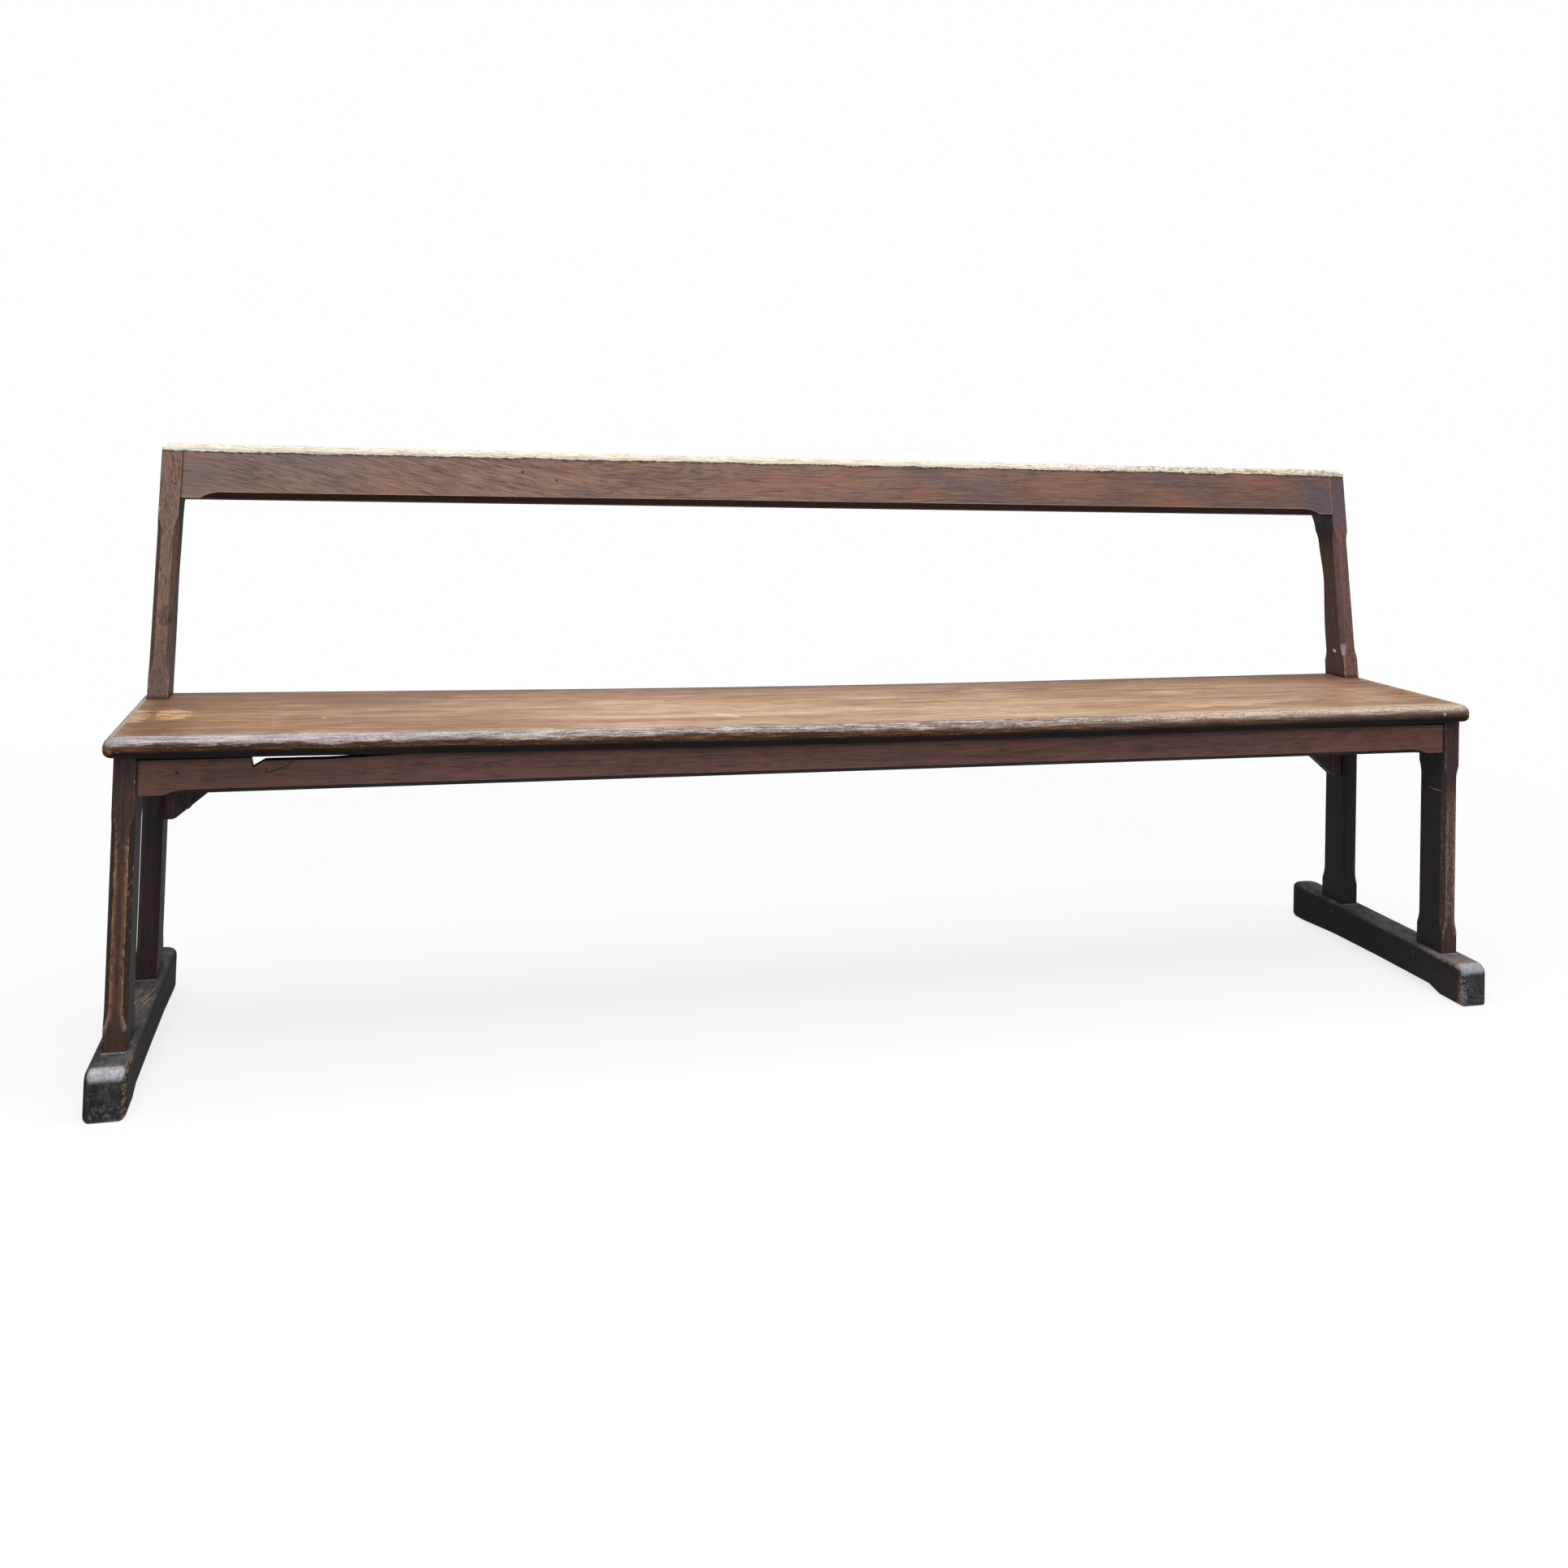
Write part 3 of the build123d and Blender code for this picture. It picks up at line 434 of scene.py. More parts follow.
finish, place, facing = start_finish("bearer_stain")
rings, streaks, pores, blotches = wood(place, "y", 24, 5)
colour = blend(rise(blotches + 0.3 * rings, 0.4, 0.8), bearer_dark, bearer_brown)
colour = blend(rise(streaks, 0.5, 0.75) * 0.5, colour, bearer_dark)
worn = rise(arris(facing, 0.002) + streaks - 0.5, 0.55, 1.0)
colour = blend(worn * 0.5, colour, bearer_rubbed)
height = 0.5 * streaks - 0.7 * pores
put_on(finish, colour, 0.55 + 0.25 * streaks, height, 0.0008, ["left_bearer", "right_bearer"])

# Front apron and rear rail: thin boards on edge between the legs, tenoned at both ends. The apron
# has a stopped chamfer along its lower edge, and a long splinter gone from its upper one, with old
# nail holes and cracks beside it.

apron_red = shade(126, 83, 76)
apron_brown = shade(108, 77, 71)
apron_dark = shade(64, 44, 40)
apron_rosy = shade(140, 96, 86)
apron_end = shade(74, 58, 52)
apron_rust = shade(122, 74, 60)
apron_top_shade = shade(38, 17, 14)
apron_rubbed = shade(138, 104, 84)
apron_underside_shade = shade(22, 15, 13)
apron_joint = shade(28, 20, 18)
apron_hole = shade(30, 20, 18)
apron_marks = (
    ((-0.91, -0.165, 0.402), (0.002, 0.02, 0.002), (0, 0, 0), 0.2),
    ((-0.846, -0.165, 0.380), (0.002, 0.02, 0.002), (0, 0, 0), 0.2),
    ((-0.792, -0.165, 0.4017), (0.012, 0.02, 0.0007), (0, -0.315, 0), 0.3),
    ((-0.7757, -0.165, 0.409), (0.006, 0.02, 0.0007), (0, -0.64, 0), 0.3),
    ((-0.8035, -0.165, 0.4023), (0.0006, 0.02, 0.0036), (0, 0, 0), 0.3),
)


def patches(place, spots):
    """1 inside any of these spots, each told as its middle, its reach, its turn and its border."""
    joined, *others = [patch(place, *spot) for spot in spots]
    for other in others:
        joined = higher(joined, other)
    return joined


finish, place, facing = start_finish("apron_stain")
x, z = parts_of(place, "xz")
side_z = parts_of(facing, "z")[0]
rings, streaks, pores, blotches = wood(place, "x", 30, 6)
colour = blend(rise(blotches + 0.25 * (rings - 0.5), 0.32, 0.68), apron_brown, apron_red)
colour = blend(rise(streaks, 0.48, 0.75) * 0.45, colour, apron_dark)
colour = blend(pores * 0.45, colour, apron_dark)
clouds = spread(place, (0.35, 1, 1), 45, 4.0, 0.7, (0, 0, 3))
colour = blend(rise(clouds, 0.52, 0.7) * 0.4, colour, apron_dark)
strands = spread(place, (0.04, 1, 1), 170, 4.0, 0.75, (1.3, 0, 0))
colour = blend(rise(strands, 0.53, 0.66) * 0.5, colour, apron_dark)
colour = blend(rise(strands, 0.44, 0.32) * 0.4, colour, apron_rosy)
left_end = rise(x, -0.62, -0.9)
smears = spread(place, (1, 1, 0.25), 38, 3.0, 0.6)
colour = blend(left_end * 0.45, colour, apron_end)
colour = blend(left_end * rise(smears + 0.3 * streaks, 0.5, 0.85) * 0.6, colour, apron_rust)
# Painted shade under the seat: the upper edge of the front face darker, and the top face near black.
colour = blend(rise(z, 0.414, 0.4185) * 0.35, colour, apron_dark)
on_top = rise(side_z, 0.4, 0.8)
colour = blend(on_top, colour, apron_top_shade)
edge = arris(facing, 0.0025)
worn = rise(edge + 1.1 * (spread(place, (0.12, 1, 1), 170, 4.0, 0.7) - 0.5), 0.55, 1.05)
colour = blend(worn * 0.5, colour, apron_rubbed)
# Painted shade: the faces that point down, such as the lower chamfer, near black.
colour = blend(rise(side_z, -0.3, -0.6), colour, apron_underside_shade)
colour = blend(rise(abs(x), 0.953, 0.9555) * 0.8, colour, apron_joint)
marks = patches(place, apron_marks)
colour = blend(marks * 0.85, colour, apron_hole)
roughness = 0.44 + 0.2 * streaks + 0.15 * worn + 0.4 * on_top
height = 0.5 * streaks - 0.7 * pores + 0.25 * rings - 3.0 * marks
put_on(finish, colour, roughness, height, 0.0007, ["front_apron", "rear_rail"], 0.3)

# Knee brackets: three-cornered pieces in the angle of the rear legs and the rear rail, sawn out of
# a plainer, browner board, and nailed up through their sloping edges.

bracket_brown = shade(84, 64, 52)
bracket_dark = shade(56, 43, 37)
bracket_rubbed = shade(126, 96, 70)
brackets = ["left_knee_bracket", "right_knee_bracket"]

finish, place, facing = start_finish("knee_bracket_stain")
rings, streaks, pores, blotches = wood(place, "z", 34, 7)
colour = blend(rise(blotches + 0.5 * (rings - 0.5), 0.3, 0.7), bracket_dark, bracket_brown)
colour = blend(rise(streaks, 0.5, 0.75) * 0.6, colour, bracket_dark)
worn = rise(arris(facing, 0.0025) + streaks - 0.5, 0.55, 1.0)
colour = blend(worn * 0.55, colour, bracket_rubbed)
height = 0.5 * streaks - 0.7 * pores
put_on(finish, colour, 0.5 + 0.25 * streaks, height, 0.0008, brackets)

# Seat board: one long plank with a full round along its front and ends. Sitters have polished it
# to a warm brown with golden patches where the stain is gone, and worn its front rounding to bare,
# greyish wood over splintery brown. A highlight is painted on the grey and on the front lip, shade
# along the bottom of the rounding, and the posts' shadows and reflections on the top before them.

seat_low, seat_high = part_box("seat_board")
seat_hold = 0.9554
seat_sag = 0.0056
post_middle_x = 0.97
seat_brown = shade(192, 147, 106)
seat_deep = shade(156, 113, 82)
seat_dark = shade(98, 68, 50)
seat_gold = shade(214, 183, 144)
seat_bare = shade(216, 198, 172)
seat_dirt = shade(88, 60, 44)
seat_dulled = shade(106, 74, 54)
seat_orange = shade(220, 174, 122)
seat_kept = shade(112, 82, 72)
seat_post_shadow = shade(66, 46, 40)
seat_dim_brown = shade(122, 94, 84)
seat_faded = shade(204, 174, 154)
seat_unrubbed = shade(118, 86, 72)
seat_patch_brown = shade(124, 88, 66)
seat_dash = shade(128, 94, 76)
seat_dash_pale = shade(218, 188, 156)
seat_flush = shade(170, 120, 100)
seat_soaked = shade(126, 82, 46)
seat_back_edge = shade(112, 80, 66)
seat_back_grime = shade(74, 58, 54)
seat_post_reflection = shade(112, 78, 60)
seat_under = shade(58, 44, 36)
seat_flakes = (
    ((-0.98, -0.035, 0.45), (0.024, 0.05, 0.02), (0, 0, 0), 1.0, 90),
    ((-0.934, -0.03, 0.45), (0.026, 0.04, 0.02), (0, 0, 0.2), 1.0, 90),
    ((-0.905, -0.028, 0.45), (0.004, 0.005, 0.02), (0, 0, 0), 0.3),
)
seat_bared = (
    ((0.585, 0.006, 0.45), (0.08, 0.014, 0.02), (0, 0, 0), 1.4, 60),
    ((0.575, -0.1, 0.45), (0.13, 0.024, 0.02), (0, 0, 0), 1.4, 60),
)
seat_scratches = (
    ((0.178, -0.03, 0.446), (0.0015, 0.02, 0.01), (0, 0, 0.55), 0.4),
    ((0.285, -0.09, 0.446), (0.0018, 0.022, 0.01), (0, 0, 0.5), 0.4),
    ((-0.919, -0.036, 0.45), (0.002, 0.003, 0.01)),
    ((-0.738, -0.068, 0.45), (0.002, 0.003, 0.01)),
    ((-0.187, -0.095, 0.446), (0.02, 0.012, 0.01), (0, 0, -0.4), 1.5, 120),
)

finish, place, facing = start_finish("sat_on_seat")
x, y, z = parts_of(place)
side_z = parts_of(facing, "z")[0]
rings, streaks, pores, blotches = wood(place, "x", 12, 8)

# The old brown finish, rubbed to gold along the lane where people sit.
bands = spread(place, (0.05, 1, 1), 45, 3.0, 0.6, (0.7, 0, 0))
colour = blend(rise(blotches + 0.2 * (rings - 0.5) + 0.5 * (bands - 0.5), 0.3, 0.7), seat_deep, seat_brown)
colour = blend(rise(streaks, 0.5, 0.78) * 0.45, colour, seat_dark)
colour = blend(pores * 0.4, colour, seat_dark)
rubbed = spread(place, (0.1, 1, 1), 26, 4.0, 0.65, (2.1, 0, 0), 0.3)
ragged_rub = rubbed + 0.35 * (streaks - 0.5)
lane = rise(y, 0.06, -0.03) * rise(y, -0.19, -0.13) * rise(abs(x + 0.1), 0.75, 0.35)
colour = blend(lane * rise(ragged_rub, 0.34, 0.6) * 0.85, colour, seat_gold)
colour = blend(rise(ragged_rub, 0.52, 0.72) * 0.5, colour, seat_gold)
colour = blend(rise(streaks + 0.4 * bands, 0.66, 0.86) * 0.6, colour, seat_dark)
slant = place.node("ShaderNodeMapping", {}, {"Vector": place, "Rotation": (0, 0, 0.5)})
wipes = spread(slant, (0.25, 1, 1), 70, 4.0, 0.7)
colour = blend(lane * rise(wipes, 0.56, 0.72) * 0.6, colour, seat_bare)
colour = blend(rise(wipes, 0.44, 0.3) * 0.35, colour, seat_dark)

# Dirt and dull spots at the left, flakes at the left end, bared spots at the right.
smear = spread(place, (0.25, 1, 1), 100, 3.0, 0.65)
dirt = rise(x, -0.89, -0.93) * rise(y, 0.1, 0.04) * rise(smear + 0.3 * streaks, 0.45, 0.7)
colour = blend(dirt * 0.7, colour, seat_dirt)
dulled = patch(place, (-0.68, 0.07, 0.45), (0.12, 0.045, 0.03), (0, 0, 0), 1.4, 22)
colour = blend(dulled * rise(smear + 0.3 * streaks, 0.35, 0.65) * 0.6, colour, seat_dulled)
flaked = patches(place, seat_flakes)
shreds = spread(place, (0.35, 1, 1), 120, 3.0, 0.65, (0.3, 0.8, 0))
flake_share = 0.35 + 0.55 * rise(x, -0.962, -0.95) + 0.5 * rise(smear, 0.46, 0.54)
colour = blend(flaked * rise(shreds, 0.42, 0.5) * flake_share, colour, seat_orange)
bared = patches(place, seat_bared)
colour = blend(bared * rise(smear + 0.3 * streaks, 0.45, 0.7) * 0.7, colour, seat_gold)

# The ends, which have kept more of the old finish, a painted shadow before each post, and darker and paler
# parts of the top.
kept = rise(abs(x) + 0.08 * (bands - 0.5) + 0.06 * (smear - 0.5), 0.9, 0.94) * (1 - 0.8 * flaked)
colour = blend(kept * (0.3 + 0.35 * rise(y, -0.03, 0.08)), colour, seat_kept)
# Painted shadow and reflection: dark on the top just in front of each post.
at_post = rise(abs(abs(x) - post_middle_x), 0.022, 0.012) * rise(y, 0.062, 0.08) * rise(y, 0.09, 0.086)
colour = blend(at_post * 0.6, colour, seat_post_shadow)
# Darker and duller towards the back at the right.
darker_back_right = rise(x, 0.25, 0.75) * rise(y + 0.05 * (bands - 0.5), -0.07, 0.12)
colour = blend(darker_back_right * 0.3, colour, seat_dim_brown)
faded = rise(x, 0.3, 0.6) * rise(x, 0.96, 0.86) * rise(y + 0.08 * (bands - 0.5), 0.08, 0.0)
colour = blend(faded * rise(smear + 0.4 * (streaks - 0.5), 0.35, 0.6) * 0.4, colour, seat_faded)
unrubbed = rise(y + 0.04 * (bands - 0.5), 0.05, 0.11)
colour = blend(unrubbed * 0.35, colour, seat_unrubbed)
# A darker patch on the top, right of the middle.
darker_patch = patch(place, (0.27, 0.06, 0.45), (0.12, 0.035, 0.03), (0, 0, 0), 1.4, 22)
colour = blend(darker_patch * rise(smear + 0.3 * streaks, 0.35, 0.6) * 0.5, colour, seat_patch_brown)

# Strands, dashes and flushes of the grain, over all of it.
strands = spread(place, (0.04, 1, 1), 140, 4.0, 0.75, (5.3, 0, 0))
dashes = spread(place, (0.12, 1, 1), 62, 4.0, 0.7, (4.4, 4, 0))
flush = spread(place, (0.14, 1, 1), 34, 3.0, 0.6, (8.2, 0, 0))
for grain, low, high, share, stain in (
    (strands, 0.53, 0.65, 0.5, seat_deep),
    (strands, 0.58, 0.7, 0.45, seat_dark),
    (strands, 0.43, 0.32, 0.4, seat_gold),
    (dashes, 0.52, 0.63, 0.45, seat_dash),
    (dashes, 0.47, 0.36, 0.4, seat_dash_pale),
    (flush, 0.52, 0.66, 0.4, seat_flush),
):
    colour = blend(rise(grain, low, high) * share, colour, stain)
soaked = spread(place, (0.2, 1, 1), 15, 3.0, 0.6, (5, 1, 0))
left_part = rise(x, -0.25, -0.6) * (1 - flaked)
colour = blend(left_part * rise(soaked + 0.2 * (streaks - 0.5), 0.4, 0.56) * 0.6, colour, seat_soaked)
back_edge = rise(y, seat_high.y - 0.04, seat_high.y - 0.004)
colour = blend(back_edge * rise(streaks + 0.4 * strands, 0.4, 0.75) * 0.75, colour, seat_back_edge)
colour = blend(rise(y, seat_high.y - 0.012, seat_high.y - 0.003) * 0.6, colour, seat_back_grime)
# Painted reflection and shadow of the posts: darker blotches on the top towards each end.
by_posts = rise(abs(x), 0.7, 0.93) * rise(y, -0.02, 0.1) * rise(blotches + 0.5 * bands, 0.55, 0.9)
colour = blend(by_posts * 0.7, colour, seat_post_reflection)

# How far a place lies below the top of the sagging board, which is level beyond its hold.
along = (x * (1 / seat_hold)) * (x * (1 / seat_hold))
sagging = rise(abs(x), seat_hold + 0.0001, seat_hold)
drop = seat_sag * (along - 1) * (1 - 0.5 * along) * sagging
below = z - seat_high.z - drop

# The rounding of the front and the ends: greyed wood with a painted highlight above, and torn, splintery wood
# below.
edge_grey = shade(210, 198, 190)
edge_violet = shade(140, 122, 118)
edge_splinter = shade(104, 70, 48)
edge_silver = shade(208, 200, 200)
edge_lead = shade(158, 150, 154)
edge_pore = shade(96, 76, 72)
edge_fibre = shade(232, 222, 214)
edge_cream = shade(232, 208, 182)
edge_cream_deep = shade(186, 158, 136)
edge_tan = shade(172, 142, 108)
torn_deep = shade(58, 36, 26)
torn_gold = shade(168, 122, 80)
torn_pore = shade(44, 24, 18)
torn_dull = shade(78, 52, 46)
rounding_shade = shade(16, 9, 7)

splinters = spread(place, (0.045, 1, 1), 430, 4.0, 0.75)
tufts = spread(place, (0.14, 1, 1), 230, 4.0, 0.8)
gouges = spread(place, (0.3, 1, 1), 45, 3.0, 0.6)
grains = spread(place, (0.5, 1, 1), 420, 3.0, 0.8)
at_front = rise(y + 0.016 * (tufts - 0.5), seat_low.y + 0.0145, seat_low.y + 0.0105)
at_end = rise(abs(x), seat_high.x - 0.0145, seat_high.x - 0.0105)
rounding = higher(at_front, at_end)
browner = 0.08 * rise(x, -0.3, 0.6)
smoother = rise(x, -0.3, -0.75)
greyed_and_lit = blend(rise(splinters, 0.4, 0.56), edge_grey, edge_violet)
greyed_and_lit = blend(rise(tufts + browner, 0.5, 0.64) * 0.8, greyed_and_lit, edge_splinter)
greyed_and_lit = blend(rise(splinters, 0.4, 0.3) * 0.6, greyed_and_lit, seat_bare)
greyed_and_lit = blend(smoother * 0.7, greyed_and_lit, blend(rise(splinters, 0.36, 0.62), edge_silver, edge_lead))
greyed_and_lit = blend(rise(grains, 0.54, 0.66) * 0.5, greyed_and_lit, edge_pore)
greyed_and_lit = blend(rise(grains, 0.44, 0.34) * 0.5, greyed_and_lit, edge_fibre)
creamy = rise(x, 0.25, 0.6) * rise(below, -0.009, -0.002)
greyed_and_lit = blend(creamy * 0.75, greyed_and_lit, blend(rise(grains, 0.42, 0.6), edge_cream, edge_cream_deep))
torn = blend(rise(splinters, 0.4, 0.6), edge_splinter, torn_deep)
torn = blend(rise(splinters, 0.44, 0.34) * 0.6, torn, torn_gold)
torn = blend(rise(tufts, 0.6, 0.72) * 0.7, torn, seat_bare)
torn = blend(rise(grains, 0.5, 0.64) * 0.6, torn, torn_pore)
torn = blend(rise(x, 0.2, 0.7) * 0.55, torn, torn_dull)
# Painted shade: near black along the bottom of the rounding, over the gap above the apron.
torn = blend(rise(below + 0.004 * (gouges - 0.5), -0.0145, -0.0195), torn, rounding_shade)
ragged_line = below + 0.014 * (gouges - 0.5) + 0.012 * (tufts - 0.5)
soft_line = below + 0.012 * (tufts - 0.5) + 0.01 * (grains - 0.5)
softer = rise(x, 0.1, 0.5)
above_line = rise(ragged_line, -0.0105, -0.0065) * (1 - softer) + rise(soft_line, -0.015, -0.005) * softer
edge_colour = blend(above_line, torn, greyed_and_lit)
edge_colour = blend(at_end * rise(tufts, 0.35, 0.6) * 0.5, edge_colour, edge_tan)
# The bare lip along the front of the top: worn wood with a painted highlight on it.
worn_and_lit_lip = rise(y, seat_low.y + 0.03, seat_low.y + 0.014)
worn_and_lit_lip = worn_and_lit_lip * rise(tufts + 0.3 * splinters + 0.22 * rise(x, 0.25, 0.6), 0.6, 0.8)
bare_end = rise(abs(x), seat_high.x - 0.034, seat_high.x - 0.012) * rise(tufts + 0.3 * splinters, 0.62, 0.8)
colour = blend(higher(worn_and_lit_lip, bare_end) * 0.8, colour, seat_bare)
colour = blend(rounding, colour, edge_colour)
colour = blend(rise(side_z, -0.3, -0.7), colour, seat_under)
colour = blend(patches(place, seat_scratches) * 0.8, colour, seat_bare)
roughness = 0.2 + 0.16 * streaks + 0.1 * flush + 0.45 * rounding + 0.3 * rise(below, -0.012, -0.018)
height = 0.35 * streaks - 0.5 * pores + rounding * (2.0 * splinters + 2.0 * tufts + 2.5 * gouges)
put_on(finish, colour, roughness, height, 0.0010, ["seat_board"], 0.34)

# Seat plug: a short dowel of paler wood that fills an old hole in the seat's front edge, near its
# right end. It shows its end grain, and stands a hair proud.

plug_pale = shade(196, 172, 140)
plug_brown = shade(128, 98, 72)

finish, place = start_finish("seat_plug_end")[:2]
fibres = spread(place, (1, 0.2, 1), 900, 3.0, 0.7)
colour = blend(rise(fibres, 0.4, 0.65), plug_pale, plug_brown)
put_on(finish, colour, 0.6 + 0.2 * fibres, fibres, 0.0004, ["seat_plug"])

# Back rail: a board on edge between the posts, flush with their fronts, pegged through its tenons.
# Its front has a slanting curl at the left, its lower edge a stopped chamfer, and its top is worn
# bare by hands and coats.

rail_brown = shade(137, 108, 94)
rail_deep = shade(108, 83, 73)
rail_dark = shade(74, 52, 45)
rail_grey = shade(120, 102, 98)
rail_light = shade(164, 134, 112)
rail_cloud = shade(92, 68, 64)
rail_right = shade(102, 74, 66)
rail_mauve = shade(100, 82, 90)
rail_rust = shade(146, 100, 80)
rail_ashen = shade(108, 98, 104)
rail_bruise = shade(90, 82, 88)
rail_rubbed = shade(182, 158, 136)
rail_underside_shade = shade(44, 16, 11)
rail_joint = shade(30, 21, 18)
rail_hole = shade(36, 26, 22)
rail_holes = (
    ((-0.467, 0.13, 0.779), (0.003, 0.03, 0.0022)),
    ((-0.415, 0.13, 0.767), (0.0026, 0.03, 0.0022)),
    ((0.881, 0.13, 0.799), (0.004, 0.03, 0.0022)),
)

finish, place, facing = start_finish("curled_rail")
x, y, z = parts_of(place)
side_z = parts_of(facing, "z")[0]
lean = rise(x, -0.1, -0.95)
curl_z = z - 0.15 * lean * lean + 0.05 * (spread(place, (1, 0, 0), 1.6, 1.0) - 0.5)
curl = place.node("ShaderNodeCombineXYZ", {}, {0: x, 1: y, 2: curl_z})
rings, streaks, pores, blotches = wood(curl, "x", 34, 9)
colour = blend(rise(blotches + 0.35 * (rings - 0.5), 0.15, 0.6), rail_deep, rail_brown)
colour = blend(rise(streaks, 0.48, 0.78) * 0.6, colour, rail_dark)
colour = blend(rise(streaks, 0.46, 0.28) * 0.3, colour, rail_light)
colour = blend(pores * 0.5, colour, rail_dark)
clouds = spread(place, (0.3, 1, 1), 42, 4.0, 0.7, (0, 0, 5))
colour = blend(rise(clouds, 0.5, 0.68) * 0.5, colour, rail_cloud)
colour = blend(rise(clouds, 0.44, 0.3) * 0.3, colour, rail_light)
strands = spread(curl, (0.05, 1, 1), 190, 4.0, 0.75, (3.7, 0, 0))
colour = blend(rise(strands, 0.53, 0.66) * 0.5, colour, rail_dark)
colour = blend(rise(strands, 0.44, 0.32) * 0.45, colour, rail_light)
colour = blend(rise(x, -0.82, -0.95) * 0.5, colour, rail_grey)
right_half = rise(x, -0.5, 0.8)
colour = blend(right_half * 0.5, colour, rail_right)
tinges = spread(place, (0.3, 1, 1), 24, 3.0, 0.6, (7, 0, 0))
tinge_share = 0.2 + 0.35 * right_half
colour = blend(rise(tinges, 0.5, 0.62) * tinge_share, colour, rail_mauve)
colour = blend(rise(tinges, 0.47, 0.36) * tinge_share, colour, rail_rust)
left_top = rise(x, -0.55, -0.85) * rise(z, 0.75, 0.79)
colour = blend(left_top * rise(tinges, 0.3, 0.6) * 0.5, colour, rail_ashen)
bruised = rise(x, 0.87, 0.935)
colour = blend(bruised * rise(clouds, 0.3, 0.5) * 0.8, colour, rail_bruise)
edge = arris(facing, 0.003)
worn = rise(edge + 1.0 * (spread(place, (0.15, 1, 1), 160, 4.0, 0.7) - 0.5), 0.5, 1.0)
colour = blend(worn * 0.7, colour, rail_rubbed)
# Painted shade: the faces that point down, such as the lower chamfer, dark red-brown.
colour = blend(rise(side_z, -0.3, -0.6), colour, rail_underside_shade)
colour = blend(rise(abs(x), 0.9525, 0.9548) * (0.85 - 0.65 * right_half), colour, rail_joint)
colour = blend(patches(place, rail_holes) * 0.8, colour, rail_hole)
height = 0.5 * streaks - 0.8 * pores + 0.3 * rings
colour, height, bare = worn_top(place, colour, height)
put_on(finish, colour, 0.46 + 0.2 * streaks + 0.2 * bare, height, 0.0008, ["back_rail"], 0.3)

# Pegs: round pins of straight-grained wood, driven through the tenons of the feet and the bearers.
# They are stained with the frame, and their rims have since rubbed a little paler.

peg_brown = shade(74, 56, 48)
peg_dark = shade(44, 35, 32)
peg_rim = shade(130, 120, 112)
pegs = [f"{side}_{joint}_pegs" for side in ("left", "right") for joint in ("foot", "bearer")]

finish, place, facing = start_finish("driven_peg")
fibres = spread(place, (1, 1, 1), 700, 3.0, 0.7)
colour = blend(rise(fibres, 0.35, 0.65), peg_brown, peg_dark)
colour = blend(rise(arris(facing, 0.0008) + fibres - 0.5, 0.6, 0.95) * 0.4, colour, peg_rim)
put_on(finish, colour, 0.5 + 0.3 * fibres, fibres, 0.0003, pegs)

# Screws and nails: slotted iron screws up through the bearers, and flat-headed iron nails in the
# knee brackets, all gone brown and rough with rust.

iron_grey = shade(74, 70, 68)
iron_brown = shade(96, 62, 44)
iron_rust = shade(126, 72, 42)
irons = [f"{side}_{kind}" for side in ("left", "right") for kind in ("seat_screws", "bracket_nails")]

finish, place = start_finish("rusty_iron")[:2]
crust = spread(place, (1, 1, 1), 600, 4.0, 0.7)
rust = spread(place, (1, 1, 1), 180, 3.0, 0.6)
colour = blend(rise(crust, 0.4, 0.65), iron_grey, iron_brown)
colour = blend(rise(rust, 0.5, 0.7) * 0.7, colour, iron_rust)
put_on(finish, colour, 0.5 + 0.4 * rise(rust, 0.3, 0.7), crust, 0.0004, irons, 0.5)

# The room: a pale floor that shows white from above and clear from below, soft lamps above and in
# front and a weaker one behind, and the camera where the photographer stood, with its lens shifted
# down as the picture's framing is.

white = shade(255, 255, 255)
floor_white = shade(250, 250, 250)
floor_grey = shade(128, 128, 128)
sky_low = shade(150, 150, 152)
mirrored_share = 0.35
glow_share = 0.78

bpy.ops.object.select_all(action="DESELECT")
bpy.ops.mesh.primitive_plane_add(size=24, location=(0, 0, -0.0005))
floor = bpy.context.object
floor.name = "studio_floor"
floor_paint = bpy.data.materials.new("pale_floor")
floor_paint.use_nodes = True
tree = floor_paint.node_tree
tree.nodes.remove(tree.nodes["Principled BSDF"])
ray = Tone(tree, tree.nodes.new("ShaderNodeLightPath").outputs["Is Camera Ray"])
mirrored = Tone(tree, ray.socket.node.outputs["Is Glossy Ray"])
seen = higher(ray, mirrored_share * mirrored)
paint = ray.node("ShaderNodeBsdfDiffuse", {}, {"Color": floor_white})
ground = ray.node("ShaderNodeBsdfDiffuse", {}, {"Color": floor_grey})
glow = ray.node("ShaderNodeEmission", {}, {"Color": white, "Strength": 1.0})
here = Tone(tree, tree.nodes.new("ShaderNodeTexCoord").outputs["Object"])
away = here.node("ShaderNodeVectorMath", {"operation": "LENGTH"}, {0: here}, "Value")
glowing = glow_share + (1 - glow_share) * rise(away, 1.2, 2.6)
bright = ray.node("ShaderNodeMixShader", {}, {0: glowing, 1: paint, 2: glow})
surface = ray.node("ShaderNodeMixShader", {}, {0: seen, 1: ground, 2: bright})
from_below = Tone(tree, tree.nodes.new("ShaderNodeNewGeometry").outputs["Backfacing"])
clear = ray.node("ShaderNodeBsdfTransparent", {}, {})
surface = ray.node("ShaderNodeMixShader", {}, {0: from_below, 1: surface, 2: clear})
tree.links.new(surface.socket, tree.nodes["Material Output"].inputs["Surface"])
floor.data.materials.append(floor_paint)

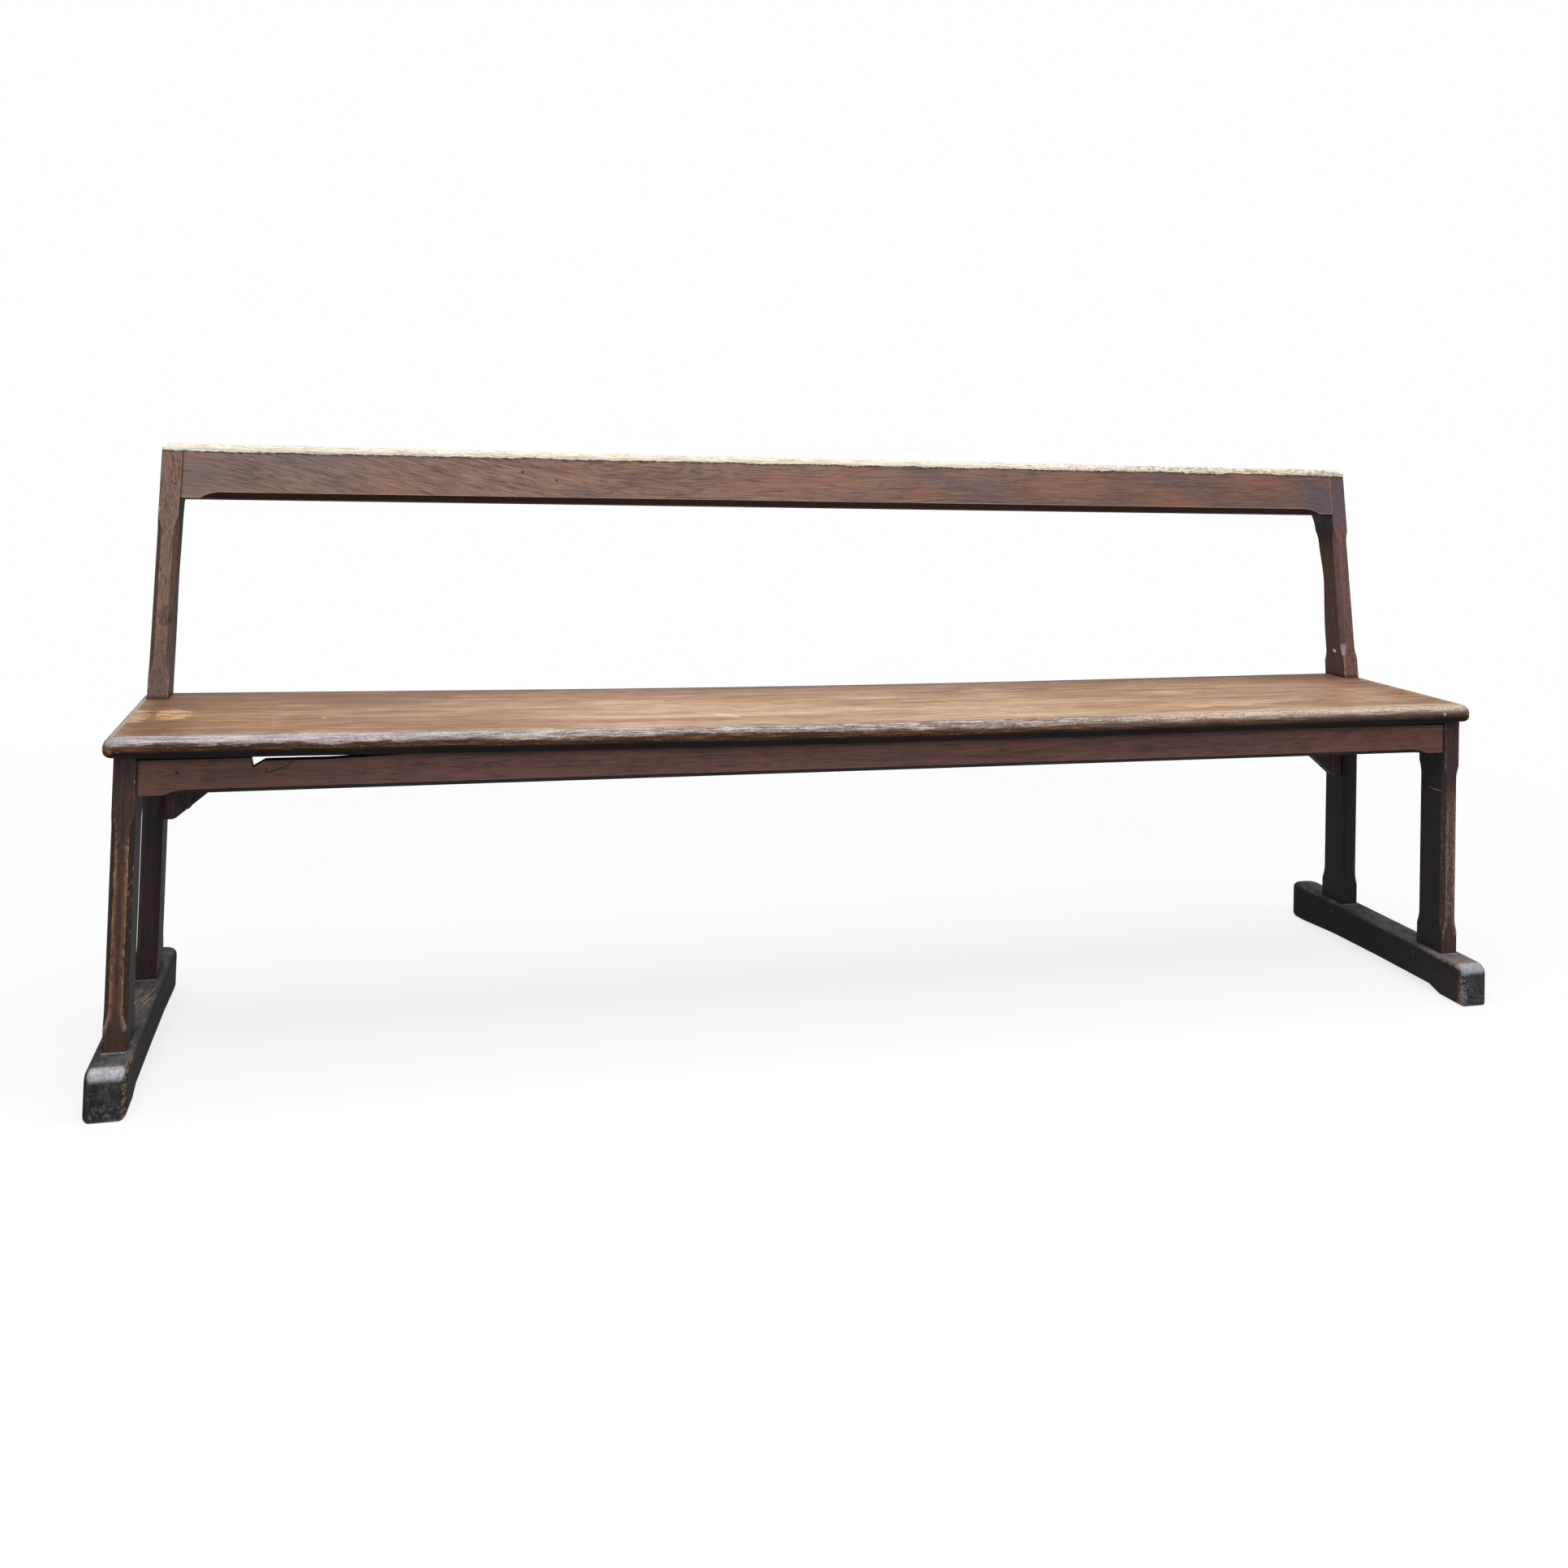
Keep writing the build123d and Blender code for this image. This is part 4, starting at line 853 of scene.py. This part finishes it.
world = bpy.data.worlds.new("overcast")
bpy.context.scene.world = world
world.use_nodes = True
tree = world.node_tree
sky = tree.nodes["Background"]
ray = Tone(tree, tree.nodes.new("ShaderNodeLightPath").outputs["Is Camera Ray"])
direction = Tone(tree, tree.nodes.new("ShaderNodeTexCoord").outputs["Generated"])
cloud = blend(rise(parts_of(direction, "z")[0], -0.1, 0.9), sky_low, white)
tree.links.new(blend(ray, cloud, white).socket, sky.inputs["Color"])
tree.links.new((0.4 + 0.6 * ray).socket, sky.inputs["Strength"])


def hang_lamp(name, spot, aim, width, depth, power):
    """A flat soft lamp that points from its spot to what it is aimed at."""
    lamp = bpy.data.lights.new(name, "AREA")
    lamp.shape = "RECTANGLE"
    lamp.size = width
    lamp.size_y = depth
    lamp.energy = power
    holder = bpy.data.objects.new(name, lamp)
    bpy.context.scene.collection.objects.link(holder)
    holder.location = spot
    holder.rotation_euler = (Vector(aim) - Vector(spot)).to_track_quat("-Z", "Y").to_euler()


hang_lamp("overhead_lamp", (0, -0.6, 3.0), (0, 0, 0.4), 4.0, 2.6, 100)
hang_lamp("front_lamp", (-0.5, -4.2, 2.2), (0, 0, 0.5), 3.6, 2.0, 76)
hang_lamp("rear_lamp", (0.5, 4.2, 2.6), (0, 0, 0.5), 3.6, 2.0, 14)

spot = Vector((-0.6662768, -2.1687237, 0.8454812))
yaw = 0.259104228
pitch = 0.02995524
roll = -0.027139248
ahead = Vector((math.sin(yaw) * math.cos(pitch), math.cos(yaw) * math.cos(pitch), math.sin(pitch)))
level = Vector((math.cos(yaw), -math.sin(yaw), 0))
down = ahead.cross(level)
right = math.cos(roll) * level + math.sin(roll) * down
below_right = math.cos(roll) * down - math.sin(roll) * level
picture_side = 1932
focal = 1826.28056
middle_row = 481.983
view = bpy.data.cameras.new("photographer")
view.sensor_width = 36
view.lens = view.sensor_width * focal / picture_side
view.shift_y = (middle_row - picture_side / 2) / picture_side
view.clip_start = 0.05
view.clip_end = 60
camera = bpy.data.objects.new("photographer", view)
bpy.context.scene.collection.objects.link(camera)
turn = Matrix((right, -below_right, -ahead)).transposed()
camera.matrix_world = Matrix.Translation(spot) @ turn.to_4x4()
bpy.context.scene.camera = camera
bpy.context.scene.view_settings.view_transform = "Standard"
